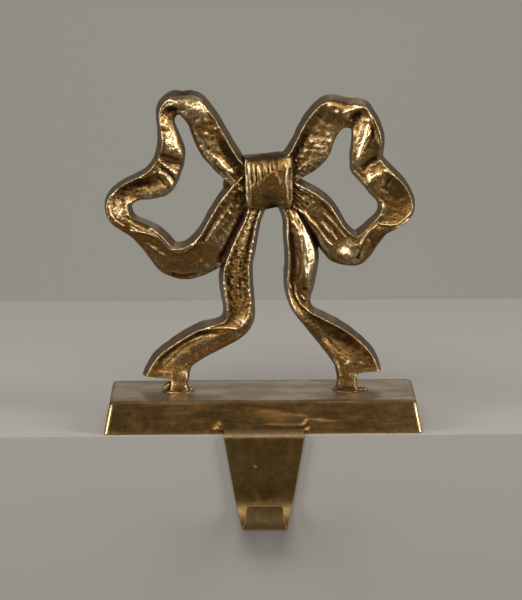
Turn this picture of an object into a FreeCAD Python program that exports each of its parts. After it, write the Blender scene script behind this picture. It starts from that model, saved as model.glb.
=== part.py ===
import FreeCAD, Part
import math
import os
import Sketcher
from FreeCAD import Vector

# Mantel stocking holder, millimetres, +Z up, the front faces -Y.
# The origin is the centre of the block's underside, which lies on the mantel shelf.
# A cast ribbon bow stands on a heavy cast block. A tapered strip of metal lies in the block's
# underside, bends down over the shelf's edge and ends in a hook for the stocking's loop.

doc = FreeCAD.newDocument("mantel_stocking_holder")
sheet = doc.addObject("Spreadsheet::Sheet", "Sizes")

SIZES = [
    ("base_length", 140.0, "block, left to right at the underside"),
    ("base_depth", 50.0, "block, front to back at the underside"),
    ("base_height", 14.3, "block, underside to top"),
    ("base_draft", 11.0, "lean of the block's four sides, degrees"),
    ("base_corner_radius", 2.2, "rounding of the four upright corners"),
    ("base_top_bevel", 0.6, "worn edge round the top"),
    ("base_foot_bevel", 0.5, "worn edge round the underside"),
    ("strap_thickness", 1.9, "sheet of the hook"),
    ("strap_width", 35.2, "hook's leg under the block"),
    ("strap_offset", 0.3, "hook's middle, right of the block's middle"),
    ("strap_leg", 32.0, "leg of the hook that lies under the block"),
    ("strap_reach", 1.75, "straight run of the hook in front of the block"),
    ("strap_bend_radius", 2.3, "middle of the sheet at the shelf's edge"),
    ("strap_flat", 26.6, "straight flat that hangs in front of the shelf"),
    ("strap_waist", 25.6, "hook's width where the flat ends"),
    ("sweep_radius", 10.5, "middle of the sheet where the hook sweeps forward"),
    ("bowl_width", 19.6, "hook's width at its lowest point"),
    ("bowl_radius", 4.0, "middle of the sheet where the hook turns up"),
    ("lip_rise", 7.4, "straight part of the upturned lip"),
    ("lip_root_width", 17.2, "lip's width where it leaves the bowl"),
    ("lip_width", 15.2, "lip's width at its tip"),
    ("lip_corner_radius", 1.8, "rounding of the lip's two corners"),
    ("swelling_width", 35.0, "ground weld on the block's front"),
    ("swelling_rise", 9.0, "height of the ground weld"),
    ("swelling_proud", 1.4, "how far the ground weld stands out"),
    ("bead_radius", 1.6, "weld bead at each end of the ground weld"),
    ("bow_width", 137.0, "bow, loop to loop"),
    ("bow_height", 133.7, "bow, from the block's top to the top of the loops"),
    ("bow_thickness", 10.0, "flat back to the highest ribbon relief"),
    ("bow_back", 5.0, "bow's flat back, behind the block's middle"),
    ("bow_draft", 2.0, "how far a ribbon's front edge lies inside its back edge"),
    ("knot_width", 21.0, "knot band, side to side"),
    ("knot_height", 24.0, "knot band, top to bottom"),
    ("knot_thickness", 13.2, "flat back to the front of the knot"),
    ("foot_width", 8.6, "foot under each tail"),
    ("foot_thickness", 8.5, "foot, front to back"),
    ("foot_height", 9.0, "foot, from the block up into the tail"),
    ("left_foot_place", 37.1, "left foot's middle, left of the block's middle"),
    ("right_foot_place", 37.4, "right foot's middle, right of the block's middle"),
    ("puddle_width", 13.0, "weld puddle round a foot"),
    ("puddle_rise", 0.7, "weld puddle, above the block"),
    ("nub_radius", 1.3, "weld nubs beside the feet"),
]
for row, (alias, value, note) in enumerate(SIZES, start=1):
    sheet.set("A%d" % row, alias)
    sheet.set("B%d" % row, "%g" % value)
    sheet.set("C%d" % row, note)
    sheet.setAlias("B%d" % row, alias)
doc.recompute()


class Dim:
    """A size and the sheet expression that drives it, kept together."""

    def __init__(self, value, text):
        self.value = float(value)
        self.text = text

    def joined(self, other, sign, value):
        text = other.text if isinstance(other, Dim) else "%g" % other
        return Dim(value, "(%s %s %s)" % (self.text, sign, text))

    def __add__(self, other):
        return self.joined(other, "+", self.value + number(other))

    def __sub__(self, other):
        return self.joined(other, "-", self.value - number(other))

    def __mul__(self, other):
        return self.joined(other, "*", self.value * number(other))

    def __truediv__(self, other):
        return self.joined(other, "/", self.value / number(other))

    def __neg__(self):
        return Dim(-self.value, "(0 - %s)" % self.text)


def number(thing):
    return thing.value if isinstance(thing, Dim) else float(thing)


def dim(alias):
    return Dim(sheet.get(alias), "Sizes." + alias)


def size(alias):
    return float(sheet.get(alias))


def bind(thing, path, driver):
    thing.setExpression(path, driver.text)


def new_body(label):
    body = doc.addObject("PartDesign::Body", label)
    body.Label = label
    return body


def new_sketch(body, name, role):
    plane = [f for f in body.Origin.OriginFeatures if f.Role == role][0]
    sketch = body.newObject("Sketcher::SketchObject", name)
    sketch.AttachmentSupport = [(plane, "")]
    sketch.MapMode = "FlatFace"
    return sketch


def constrain(sketch, kind, *places):
    sketch.addConstraint(Sketcher.Constraint(kind, *places))


def drive(sketch, kind, places, driver):
    index = sketch.addConstraint(Sketcher.Constraint(kind, *places, driver.value))
    name = "size_%d" % index
    sketch.renameConstraint(index, name)
    sketch.setExpression("Constraints." + name, driver.text)


def add_polygon(sketch, points):
    # Each corner of the closed outline is driven by its own two places.
    first = sketch.GeometryCount
    places = [Vector(x.value, y.value, 0) for x, y in points]
    count = len(points)
    for i in range(count):
        sketch.addGeometry(Part.LineSegment(places[i], places[(i + 1) % count]), False)
    for i, (x, y) in enumerate(points):
        constrain(sketch, "Coincident", first + i, 2, first + (i + 1) % count, 1)
        drive(sketch, "DistanceX", (-1, 1, first + i, 1), x)
        drive(sketch, "DistanceY", (-1, 1, first + i, 1), y)


def add_rectangle(sketch, left, right, bottom, top):
    add_polygon(sketch, [(left, bottom), (right, bottom), (right, top), (left, top)])


def edges_where(shape, test):
    return ["Edge%d" % i for i, edge in enumerate(shape.Edges, start=1) if test(edge)]


def stands_up(edge):
    box = edge.BoundBox
    return box.ZLength > 0.5 * max(box.XLength, box.YLength)


def level_at(height):
    def test(edge):
        box = edge.BoundBox
        return box.ZLength < 0.01 and abs(box.ZMax - height) < 0.01
    return test


def dress_edges(body, kind, base, name, names, driver):
    # Rounds or bevels the named edges of the body's last feature.
    dressing = body.newObject("PartDesign::" + kind, name)
    path = "Radius" if kind == "Fillet" else "Size"
    dressing.Base = (base, names)
    setattr(dressing, path, driver.value)
    bind(dressing, path, driver)
    doc.recompute()
    return dressing


def ground_plane(body):
    return [f for f in body.Origin.OriginFeatures if f.Role == "XY_Plane"][0]


def add_ground_weld(body, name, across, front, back, foot, top):
    # A run of weld ground nearly flush: its front is half as wide and as tall as its root.
    half = dim("swelling_width") / 2
    step = (top - foot) / 4
    weld = body.newObject("PartDesign::AdditiveWedge", name)
    weld.AttachmentSupport = [(ground_plane(body), "")]
    weld.MapMode = "FlatFace"
    sides = {
        "Ymin": front, "Xmin": across - half / 2, "Xmax": across + half / 2,
        "Zmin": foot + step, "Zmax": top - step,
        "Ymax": back, "X2min": across - half, "X2max": across + half,
        "Z2min": foot, "Z2max": top,
    }
    for path, driver in sides.items():
        setattr(weld, path, driver.value)
        bind(weld, path, driver)
    doc.recompute()
    return weld


def add_bead(body, name, place, radius):
    # A short bead of weld metal standing on the block's front, thinner at its top.
    bead = body.newObject("PartDesign::AdditiveCone", name)
    bead.AttachmentSupport = [(ground_plane(body), "")]
    bead.MapMode = "FlatFace"
    for path, driver in (("Radius1", radius), ("Radius2", radius * 0.5),
                         ("Height", radius * 1.8)):
        setattr(bead, path, driver.value)
        bind(bead, path, driver)
    for path, driver in zip("xyz", place):
        bind(bead, "AttachmentOffset.Base." + path, driver)
    doc.recompute()
    return bead


# Block: cast with drafted sides, its edges rounded, with a shallow seat for the hook's leg.
def make_base_block():
    body = new_body("base_block")
    half_length = dim("base_length") / 2
    half_depth = dim("base_depth") / 2
    outline = new_sketch(body, "base_outline", "XY_Plane")
    add_rectangle(outline, -half_length, half_length, -half_depth, half_depth)
    block = body.newObject("PartDesign::Pad", "base_pad")
    block.Profile = outline
    bind(block, "Length", dim("base_height"))
    doc.recompute()
    sides = ["Face%d" % i for i, face in enumerate(block.Shape.Faces, start=1)
             if abs(face.normalAt(0, 0).z) < 0.5]
    drafted = body.newObject("PartDesign::Draft", "base_drafted_sides")
    drafted.Base = (block, sides)
    drafted.NeutralPlane = (ground_plane(body), [""])
    bind(drafted, "Angle", dim("base_draft"))
    doc.recompute()

    corners = dress_edges(body, "Fillet", drafted, "base_corners",
                          edges_where(drafted.Shape, stands_up), dim("base_corner_radius"))
    top = dress_edges(body, "Chamfer", corners, "base_top_edge",
                      edges_where(corners.Shape, level_at(size("base_height"))),
                      dim("base_top_bevel"))
    dress_edges(body, "Chamfer", top, "base_foot_edge",
                edges_where(top.Shape, level_at(0.0)), dim("base_foot_bevel"))

    lean = Dim(math.tan(math.radians(size("base_draft"))), "tan(Sizes.base_draft)")
    middle = dim("swelling_rise") / 2 + dim("strap_thickness")
    face = middle * lean - half_depth
    across = dim("strap_offset")
    bead = dim("bead_radius")
    reach = dim("strap_width") / 2 + bead * 1.5
    bead_up = dim("strap_thickness")
    bead_front = -half_depth + bead / 2
    add_bead(body, "left_bead", (across - reach, bead_front, bead_up), bead * 1.2)
    add_bead(body, "right_bead", (across + reach, bead_front, bead_up), bead)
    add_ground_weld(body, "ground_weld", across, face - dim("swelling_proud"),
                    face + dim("swelling_proud"), dim("strap_thickness"),
                    dim("strap_thickness") + dim("swelling_rise"))

    seat = new_sketch(body, "hook_seat_outline", "XY_Plane")
    half_strap = dim("strap_width") / 2
    back = dim("strap_leg") - half_depth
    front = -half_depth - dim("swelling_proud") - bead * 2
    add_rectangle(seat, across - half_strap, across + half_strap, front, back)
    pocket = body.newObject("PartDesign::Pocket", "hook_seat")
    pocket.Profile = seat
    pocket.Reversed = True
    bind(pocket, "Length", dim("strap_thickness"))
    doc.recompute()

    body.Tip = pocket
    return body


# Hook: one strip of sheet, swept round its bends, then cut to its taper from the front.
def make_stocking_hook():
    body = new_body("stocking_hook")
    thick = dim("strap_thickness")
    half_depth = dim("base_depth") / 2
    across = dim("strap_offset")
    bend = dim("strap_bend_radius")
    sweep = dim("sweep_radius")
    bowl = dim("bowl_radius")

    leg_back = dim("strap_leg") - half_depth
    bend_y = -half_depth - dim("strap_reach")
    flat_y = bend_y - bend
    flat_top = thick / 2 - bend
    flat_foot = flat_top - dim("strap_flat")
    bowl_y = flat_y - sweep
    bowl_z = flat_foot - sweep
    lip_y = bowl_y - bowl
    lip_root = bowl_z + bowl
    lip_tip = lip_root + dim("lip_rise")
    ground = Dim(0, "0")

    path = new_sketch(body, "hook_path", "YZ_Plane")
    up = Vector(0, 0, 1)

    def flat_point(y, z):
        return Vector(y.value, z.value, 0)

    def arc(y, z, radius, start, end):
        circle = Part.Circle(flat_point(y, z), up, radius.value)
        return Part.ArcOfCircle(circle, math.radians(start), math.radians(end))

    path.addGeometry(Part.LineSegment(flat_point(leg_back, thick / 2),
                                      flat_point(bend_y, thick / 2)), False)
    path.addGeometry(arc(bend_y, flat_top, bend, 90, 180), False)
    path.addGeometry(Part.LineSegment(flat_point(flat_y, flat_top),
                                      flat_point(flat_y, flat_foot)), False)
    path.addGeometry(arc(bowl_y, flat_foot, sweep, 270, 360), False)
    path.addGeometry(arc(bowl_y, lip_root, bowl, 180, 270), False)
    path.addGeometry(Part.LineSegment(flat_point(lip_y, lip_root),
                                      flat_point(lip_y, lip_tip)), False)
    leg, over_edge, flat, forward, turn_up, lip = range(6)
    constrain(path, "Horizontal", leg)
    drive(path, "DistanceX", (-1, 1, leg, 1), leg_back)
    drive(path, "DistanceY", (-1, 1, leg, 1), thick / 2)
    drive(path, "DistanceX", (-1, 1, leg, 2), bend_y)
    constrain(path, "Coincident", leg, 2, over_edge, 1)
    constrain(path, "Vertical", over_edge, 3, over_edge, 1)
    constrain(path, "Horizontal", over_edge, 3, over_edge, 2)
    drive(path, "Radius", (over_edge,), bend)
    constrain(path, "Coincident", over_edge, 2, flat, 1)
    constrain(path, "Vertical", flat)
    drive(path, "DistanceY", (flat, 2, flat, 1), dim("strap_flat"))
    constrain(path, "Coincident", flat, 2, forward, 2)
    constrain(path, "Horizontal", forward, 3, forward, 2)
    constrain(path, "Vertical", forward, 3, forward, 1)
    drive(path, "Radius", (forward,), sweep)
    constrain(path, "Coincident", forward, 1, turn_up, 2)
    constrain(path, "Vertical", turn_up, 3, turn_up, 2)
    constrain(path, "Horizontal", turn_up, 3, turn_up, 1)
    drive(path, "Radius", (turn_up,), bowl)
    constrain(path, "Coincident", turn_up, 1, lip, 1)
    constrain(path, "Vertical", lip)
    drive(path, "DistanceY", (lip, 1, lip, 2), dim("lip_rise"))

    half_strap = dim("strap_width") / 2
    section = new_sketch(body, "hook_section", "XZ_Plane")
    bind(section, "AttachmentOffset.Base.z", -leg_back)
    doc.recompute()
    add_polygon(section, [(across - half_strap, ground), (across + half_strap, ground),
                          (across + half_strap, thick), (across - half_strap, thick)])
    doc.recompute()
    strip = body.newObject("PartDesign::AdditivePipe", "hook_strip")
    strip.Profile = section
    strip.Spine = (path, [])
    doc.recompute()

    def side_cut(name, lines, reverse, depth):
        # Cuts both sides of the strip, seen from the front, from the bowl's middle.
        outline = new_sketch(body, name + "_outline", "XZ_Plane")
        bind(outline, "AttachmentOffset.Base.z", -bowl_y)
        doc.recompute()
        spare = dim("strap_width")
        top, foot = lines[0][1], lines[-1][1]
        right = [(across + half, z) for half, z in lines]
        add_polygon(outline, right + [(across + spare, foot), (across + spare, top)])
        left = [(across - half, z) for half, z in lines]
        add_polygon(outline, left + [(across - spare, foot), (across - spare, top)])
        cut = body.newObject("PartDesign::Pocket", name)
        cut.Profile = outline
        cut.Reversed = reverse
        bind(cut, "Length", depth)
        doc.recompute()
        return cut

    bottom = bowl_z - thick
    side_cut("flat_taper",
             [(half_strap, ground), (dim("strap_waist") / 2, flat_foot),
              (dim("bowl_width") / 2 + thick / 2, lip_root - thick),
              (dim("bowl_width") / 2, bottom)],
             False, sweep + thick)
    lip_cut = side_cut("lip_taper",
                       [(dim("lip_width") / 2, lip_tip + thick),
                        (dim("lip_root_width") / 2, lip_root),
                        (dim("bowl_width") / 2, bottom)],
                       True, bowl + thick)

    def lip_corner(edge):
        box = edge.BoundBox
        straight = box.XLength < 0.01 and box.ZLength < 0.01
        return straight and box.ZMax > lip_tip.value - 0.01 and box.YMax < bowl_y.value
    dress_edges(body, "Fillet", lip_cut, "lip_corners",
                edges_where(lip_cut.Shape, lip_corner), dim("lip_corner_radius"))
    return body


# Bow: each ribbon is drawn by rungs laid across it. A rung gives the ribbon's two edges at
# the flat back, in millimetres from the block's middle and up from the block's underside on
# the bow as measured, and how deep five places lie below the highest relief: the front of
# the first edge, a crease, the middle fold, a crease and the front of the second edge.
MEASURED_WIDTH = 137.0
MEASURED_HEIGHT = 133.7
MEASURED_FOOT = 14.3

LEFT_UPPER = [
    ((-2.0, 111.0), (-8.5, 101.5), (2.0, 3.0, 4.0, 3.0, 3.0)),
    ((-7.5, 118.0), (-15.5, 107.0), (1.0, 3.0, 3.5, 2.5, 3.0)),
    ((-11.0, 123.5), (-22.0, 113.5), (0.8, 2.5, 2.2, 1.2, 2.2)),
    ((-14.5, 129.5), (-27.5, 120.5), (0.8, 1.8, 1.6, 1.5, 2.0)),
    ((-17.5, 135.0), (-30.5, 127.5), (1.0, 1.0, 1.2, 1.5, 2.0)),
    ((-21.0, 140.5), (-32.5, 133.5), (1.5, 0.6, 0.6, 1.2, 2.0)),
    ((-25.0, 145.5), (-35.0, 136.0), (2.2, 0.5, 0.3, 0.8, 2.2)),
    ((-30.0, 148.0), (-36.0, 137.0), (2.5, 0.8, 0.3, 1.2, 2.8)),
    ((-39.0, 148.0), (-37.5, 136.0), (1.8, 1.0, 1.5, 3.5, 4.0)),
    ((-44.0, 144.5), (-38.0, 134.5), (1.0, 1.8, 3.0, 3.5, 3.5)),
    ((-46.5, 139.0), (-37.5, 132.5), (1.0, 1.8, 2.5, 2.8, 3.0)),
    ((-45.5, 128.5), (-34.5, 125.5), (1.0, 0.6, 0.4, 0.8, 2.0)),
    ((-46.0, 123.0), (-33.0, 120.0), (1.2, 0.3, 0.0, 0.3, 1.8)),
    ((-47.5, 118.0), (-34.0, 115.5), (2.0, 2.4, 2.6, 2.4, 2.5)),
]

LEFT_LOWER = [
    ((-47.5, 118.0), (-34.0, 115.5), (2.0, 2.4, 2.6, 2.4, 2.5)),
    ((-49.5, 115.0), (-35.5, 110.5), (1.2, 0.8, 0.6, 0.8, 1.8)),
    ((-52.0, 113.0), (-38.5, 103.0), (0.8, 2.8, 3.0, 1.4, 1.8)),
    ((-55.0, 111.5), (-45.5, 100.0), (0.8, 3.2, 3.6, 3.0, 2.5)),
    ((-59.5, 109.5), (-51.0, 99.5), (0.8, 3.0, 3.8, 3.5, 2.6)),
    ((-64.0, 106.5), (-54.5, 99.0), (0.8, 2.8, 3.6, 3.6, 2.8)),
    ((-68.0, 102.5), (-57.0, 97.5), (0.8, 2.4, 3.0, 3.2, 2.8)),
    ((-69.5, 97.5), (-57.0, 96.0), (0.8, 1.8, 2.4, 2.6, 2.4)),
    ((-68.5, 92.0), (-56.0, 93.5), (0.8, 1.4, 1.8, 2.0, 1.8)),
    ((-65.5, 88.0), (-53.5, 91.5), (1.0, 1.4, 1.6, 1.5, 1.2)),
    ((-57.5, 83.0), (-45.5, 88.5), (3.0, 2.4, 1.8, 1.2, 0.6)),
    ((-49.5, 73.0), (-39.5, 82.5), (4.0, 2.5, 1.8, 1.2, 0.6)),
    ((-45.5, 68.5), (-37.5, 80.5), (4.2, 2.6, 1.6, 1.2, 0.6)),
    ((-34.0, 64.0), (-33.0, 81.5), (4.0, 2.6, 1.8, 1.4, 0.6)),
    ((-27.5, 65.0), (-29.5, 85.0), (4.0, 2.8, 2.4, 1.6, 0.6)),
    ((-21.5, 68.5), (-27.0, 88.0), (4.0, 3.0, 2.6, 1.6, 0.8)),
    ((-12.5, 78.5), (-22.0, 97.5), (4.0, 3.4, 2.8, 2.0, 1.0)),
    ((-4.5, 88.5), (-15.5, 106.5), (4.0, 4.0, 3.5, 3.0, 2.0)),
    ((2.5, 98.0), (-8.5, 113.5), (4.0, 4.0, 4.0, 4.0, 3.0)),
]

RIGHT_UPPER = [
    ((3.0, 113.0), (10.5, 103.5), (2.0, 3.0, 4.0, 3.0, 3.0)),
    ((9.0, 120.0), (17.0, 108.5), (1.0, 3.0, 3.2, 2.6, 2.8)),
    ((13.0, 125.5), (24.0, 112.0), (0.8, 2.6, 2.2, 1.4, 2.4)),
    ((16.0, 132.5), (30.0, 118.5), (0.8, 2.2, 1.4, 0.8, 2.0)),
    ((20.0, 138.5), (32.0, 125.5), (0.8, 2.0, 1.6, 1.0, 1.8)),
    ((24.0, 143.0), (35.0, 130.0), (1.2, 1.6, 1.8, 1.8, 2.2)),
    ((28.5, 145.5), (37.0, 131.0), (2.0, 0.6, 1.0, 1.8, 2.8)),
    ((33.0, 145.5), (38.0, 131.0), (2.4, 0.8, 0.4, 1.6, 3.2)),
    ((38.5, 144.0), (39.0, 130.5), (2.4, 1.2, 0.6, 2.6, 3.6)),
    ((43.0, 144.0), (39.5, 130.0), (1.8, 0.8, 1.4, 3.6, 3.6)),
    ((47.0, 142.5), (39.5, 129.0), (0.6, 0.8, 3.0, 3.2, 2.6)),
    ((49.5, 138.5), (39.5, 126.5), (0.6, 1.8, 1.6, 1.4, 2.0)),
    ((52.5, 133.5), (39.0, 122.5), (0.6, 1.6, 1.0, 0.8, 1.6)),
    ((54.5, 126.0), (38.5, 117.0), (0.8, 1.2, 1.0, 0.6, 1.4)),
    ((53.5, 118.5), (39.0, 112.0), (3.0, 3.0, 2.4, 1.6, 1.8)),
]

RIGHT_LOWER = [
    ((53.5, 118.5), (39.0, 112.0), (3.0, 3.0, 2.4, 1.6, 1.8)),
    ((55.0, 116.5), (41.0, 109.0), (2.2, 3.2, 3.4, 3.0, 2.6)),
    ((58.0, 113.5), (44.0, 106.0), (0.8, 1.2, 1.4, 1.6, 2.0)),
    ((62.0, 109.5), (46.5, 102.5), (0.6, 2.0, 1.4, 1.0, 1.6)),
    ((65.5, 104.5), (49.0, 100.0), (0.6, 2.6, 3.4, 2.4, 2.0)),
    ((67.5, 99.0), (51.0, 97.5), (0.6, 2.6, 3.6, 3.0, 2.2)),
    ((67.5, 94.5), (51.0, 95.0), (0.6, 2.4, 3.2, 3.0, 2.0)),
    ((66.0, 90.5), (49.5, 92.5), (0.6, 2.0, 2.8, 2.6, 1.6)),
    ((58.5, 85.5), (45.5, 89.0), (1.6, 1.4, 1.2, 1.2, 0.8)),
    ((55.0, 83.5), (44.0, 87.5), (3.2, 2.2, 1.0, 0.6, 0.8)),
    ((50.0, 76.5), (42.0, 86.0), (4.2, 3.0, 1.2, 0.8, 1.2)),
    ((46.5, 72.0), (41.0, 85.5), (4.2, 2.8, 0.8, 1.2, 1.8)),
    ((42.0, 69.0), (40.0, 86.0), (3.6, 1.6, 0.8, 1.8, 2.0)),
    ((32.0, 70.5), (37.0, 89.0), (3.0, 1.6, 2.0, 2.0, 1.8)),
    ((27.5, 74.5), (35.5, 92.0), (3.0, 2.2, 2.2, 2.2, 1.6)),
    ((20.0, 85.0), (30.5, 100.0), (3.4, 2.8, 2.4, 2.4, 1.6)),
    ((14.0, 94.0), (24.0, 105.0), (3.6, 3.0, 3.0, 3.0, 2.2)),
    ((9.0, 100.0), (17.0, 108.5), (3.6, 3.5, 3.5, 3.5, 2.6)),
    ((4.0, 105.0), (10.0, 112.0), (4.0, 4.0, 4.0, 4.0, 3.0)),
]

LEFT_TAIL = [
    ((-8.0, 104.5), (5.5, 104.0), (3.0, 3.0, 3.0, 3.0, 3.0)),
    ((-7.5, 96.0), (1.5, 94.5), (1.6, 2.2, 1.4, 2.0, 1.6)),
    ((-11.0, 88.5), (-1.0, 88.0), (0.6, 1.8, 1.0, 1.8, 0.8)),
    ((-15.0, 80.0), (-2.0, 79.5), (0.3, 1.8, 0.8, 1.8, 0.6)),
    ((-18.0, 71.5), (-4.0, 71.5), (0.3, 2.0, 1.0, 1.8, 0.8)),
    ((-19.5, 63.5), (-4.0, 63.5), (0.5, 2.2, 1.2, 1.8, 0.8)),
    ((-17.5, 52.0), (-3.0, 49.0), (1.5, 2.6, 2.4, 1.2, 0.8)),
    ((-17.5, 48.5), (-4.0, 43.5), (2.2, 2.8, 1.8, 0.8, 1.2)),
    ((-19.0, 46.5), (-7.0, 39.0), (2.5, 2.4, 1.6, 1.0, 2.0)),
    ((-23.5, 45.5), (-12.5, 35.0), (1.2, 1.8, 1.4, 2.0, 3.6)),
    ((-30.5, 43.5), (-21.5, 30.5), (0.6, 1.8, 1.0, 2.4, 4.0)),
    ((-43.5, 35.0), (-30.5, 25.5), (0.5, 1.8, 0.6, 1.8, 3.0)),
    ((-48.5, 30.5), (-32.0, 22.5), (0.5, 1.6, 0.6, 1.4, 2.0)),
    ((-52.0, 25.0), (-32.5, 20.0), (0.5, 1.4, 0.6, 1.2, 1.2)),
    ((-53.5, 20.5), (-33.0, 17.5), (0.6, 1.2, 0.8, 1.0, 1.0)),
]

RIGHT_TAIL = [
    ((1.0, 104.5), (14.0, 104.0), (3.0, 3.0, 3.0, 3.0, 3.0)),
    ((8.5, 94.5), (17.0, 95.5), (1.6, 2.0, 1.6, 2.0, 1.6)),
    ((9.0, 87.0), (21.0, 88.5), (0.8, 1.8, 0.8, 1.2, 1.4)),
    ((9.5, 80.0), (24.0, 81.0), (0.5, 1.8, 0.8, 0.6, 1.6)),
    ((10.0, 74.0), (25.5, 74.5), (0.5, 1.8, 1.0, 0.4, 1.8)),
    ((9.5, 67.5), (24.5, 67.5), (0.5, 2.0, 1.4, 0.8, 2.0)),
    ((9.5, 60.5), (23.0, 60.0), (0.5, 2.2, 2.0, 1.6, 2.6)),
    ((11.0, 54.5), (21.5, 55.0), (0.6, 1.8, 2.6, 2.6, 3.0)),
    ((13.0, 49.5), (22.0, 52.0), (1.0, 0.8, 1.8, 2.2, 1.6)),
    ((16.0, 45.5), (24.5, 50.0), (2.0, 1.4, 1.6, 1.4, 0.8)),
    ((24.0, 35.5), (35.0, 45.0), (2.6, 1.8, 2.2, 1.8, 0.5)),
    ((31.0, 26.5), (48.0, 34.5), (1.4, 1.2, 2.6, 2.4, 0.5)),
    ((32.5, 23.5), (51.5, 28.0), (1.0, 1.6, 2.6, 2.2, 0.5)),
    ((33.0, 19.5), (53.0, 22.0), (1.0, 1.6, 2.0, 1.6, 0.6)),
]

# Where the five relief places lie on a ribbon's front, from its first edge to its second.
RIBBON_CREASES = (0.0, 0.2, 0.5, 0.8, 1.0)

KNOT_MIDDLE = (3.0, 107.5)
# The knot band's pleats stand upright. Each crease's place from one side of the band to the
# other, and how far it lies below the highest relief.
KNOT_PLEATS = [
    (0.0, 2.2), (0.08, 0.3), (0.17, 1.3), (0.27, 0.2), (0.55, 0.0),
    (0.85, 1.2), (0.93, 0.4), (1.0, 2.2),
]
# The band bulges: at each height, from its foot (-1) to its top (1), the share of the full
# thickness that it reaches.
KNOT_BULGE = [
    (-1.0, 0.35), (-0.9, 0.8), (-0.5, 1.0), (0.0, 0.98), (0.5, 1.0), (0.9, 0.8), (1.0, 0.35),
]


def on_bow(x, z):
    # A measured place on the bow, carried to the bow's driving width and height.
    wide = size("bow_width") / MEASURED_WIDTH
    tall = size("bow_height") / MEASURED_HEIGHT
    return Vector(x * wide, 0, size("base_height") + (z - MEASURED_FOOT) * tall)


def uniform_knots(count, degree):
    spans = count - degree
    mults = [degree + 1] + [1] * (spans - 1) + [degree + 1]
    return mults, [float(i) for i in range(spans + 1)]


def skin(rows, degree_across):
    # A smooth surface along the rows of control points, and straight or smooth across them.
    along_mults, along_knots = uniform_knots(len(rows), 3)
    across_mults, across_knots = uniform_knots(len(rows[0]), degree_across)
    surface = Part.BSplineSurface()
    surface.buildFromPolesMultsKnots(rows, along_mults, across_mults, along_knots,
                                     across_knots, False, False, 3, degree_across)
    return surface.toShape()


def closed_face(points):
    edges = []
    for here, there in zip(points, points[1:] + points[:1]):
        edges.append(Part.LineSegment(here, there).toShape())
    return Part.Face(Part.Wire(edges))


def skinned_solid(rows):
    # Every row is one closed outline; each side between two rows' corners is smooth
    # along the piece and straight across it, so the corners run along it as creases.
    faces = [closed_face(rows[0]), closed_face(rows[-1])]
    corners = list(range(len(rows[0]))) + [0]
    for here, there in zip(corners, corners[1:]):
        faces.append(skin([[row[here], row[there]] for row in rows], 1))
    shell = Part.Shell(faces)
    shell.sewShape()
    solid = Part.Solid(shell)
    if solid.Volume < 0:
        solid.reverse()
    return solid


def sharpened(values):
    # Control values that bring the smooth curve back towards the measured ones.
    sharp = list(values)
    for i in range(1, len(values) - 1):
        softened = (values[i - 1] + values[i] * 4.0 + values[i + 1]) * (1.0 / 6.0)
        sharp[i] = values[i] * 1.3 - softened * 0.3
    return sharp


def ribbon_row(start, end, dips, spare):
    # The drafted sides run on behind the flat back by the spare depth, which is cut off later.
    width = (end - start).Length
    along = (end - start) * (1.0 / width)
    back = size("bow_back")
    draft = size("bow_draft")
    heights = [size("bow_thickness") - dip for dip in dips]
    inner = width - 2 * draft

    def place(u, height):
        spot = start + along * u
        return Vector(spot.x, back - height, spot.z)

    row = [place(-draft / heights[0] * spare, -spare)]
    for share, height in zip(RIBBON_CREASES, heights):
        row.append(place(draft + inner * share, height))
    return row + [place(width + draft / heights[4] * spare, -spare)]


def make_ribbon(rungs, spare):
    starts = sharpened([on_bow(*rung[0]) for rung in rungs])
    ends = sharpened([on_bow(*rung[1]) for rung in rungs])
    rows = [ribbon_row(start, end, dips, spare)
            for start, end, dips in zip(starts, ends, [rung[2] for rung in rungs])]
    return skinned_solid(rows)


def knot_row(level, fullness, spare):
    middle = on_bow(*KNOT_MIDDLE)
    wide = size("knot_width")
    z = middle.z + level * size("knot_height") / 2
    back = size("bow_back")
    row = [Vector(middle.x - wide / 2, back + spare, z)]
    for share, dip in KNOT_PLEATS:
        out = (size("knot_thickness") - dip) * fullness
        row.append(Vector(middle.x + (share - 0.5) * wide, back - out, z))
    return row + [Vector(middle.x + wide / 2, back + spare, z)]


def make_knot(spare):
    return skinned_solid([knot_row(level, fullness, spare) for level, fullness in KNOT_BULGE])


def add_shape(name, shape):
    thing = doc.addObject("Part::Feature", name)
    thing.Shape = shape
    return thing


def add_solid(kind, name, bindings):
    solid = doc.addObject(kind, name)
    for path, driver in bindings.items():
        bind(solid, path, driver)
    return solid


def at(across, forward, up):
    return {"Placement.Base.x": across, "Placement.Base.y": forward, "Placement.Base.z": up}


def make_foot(name, across):
    return add_solid("Part::Box", name, {
        "Length": dim("foot_width"),
        "Width": dim("foot_thickness"),
        "Height": dim("foot_height"),
        **at(across - dim("foot_width") / 2, dim("bow_back") - dim("foot_thickness"),
             dim("base_height")),
    })


def make_weld_run(name, place, radius, length, lean):
    # A run of weld metal that thins away from the foot; lean turns its axis about Y.
    run = add_solid("Part::Cone", name, {
        "Radius1": radius,
        "Radius2": radius * 0.7,
        "Height": length,
        **place,
    })
    run.Placement.Rotation = FreeCAD.Rotation(Vector(0, 1, 0), lean)
    return run


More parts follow.
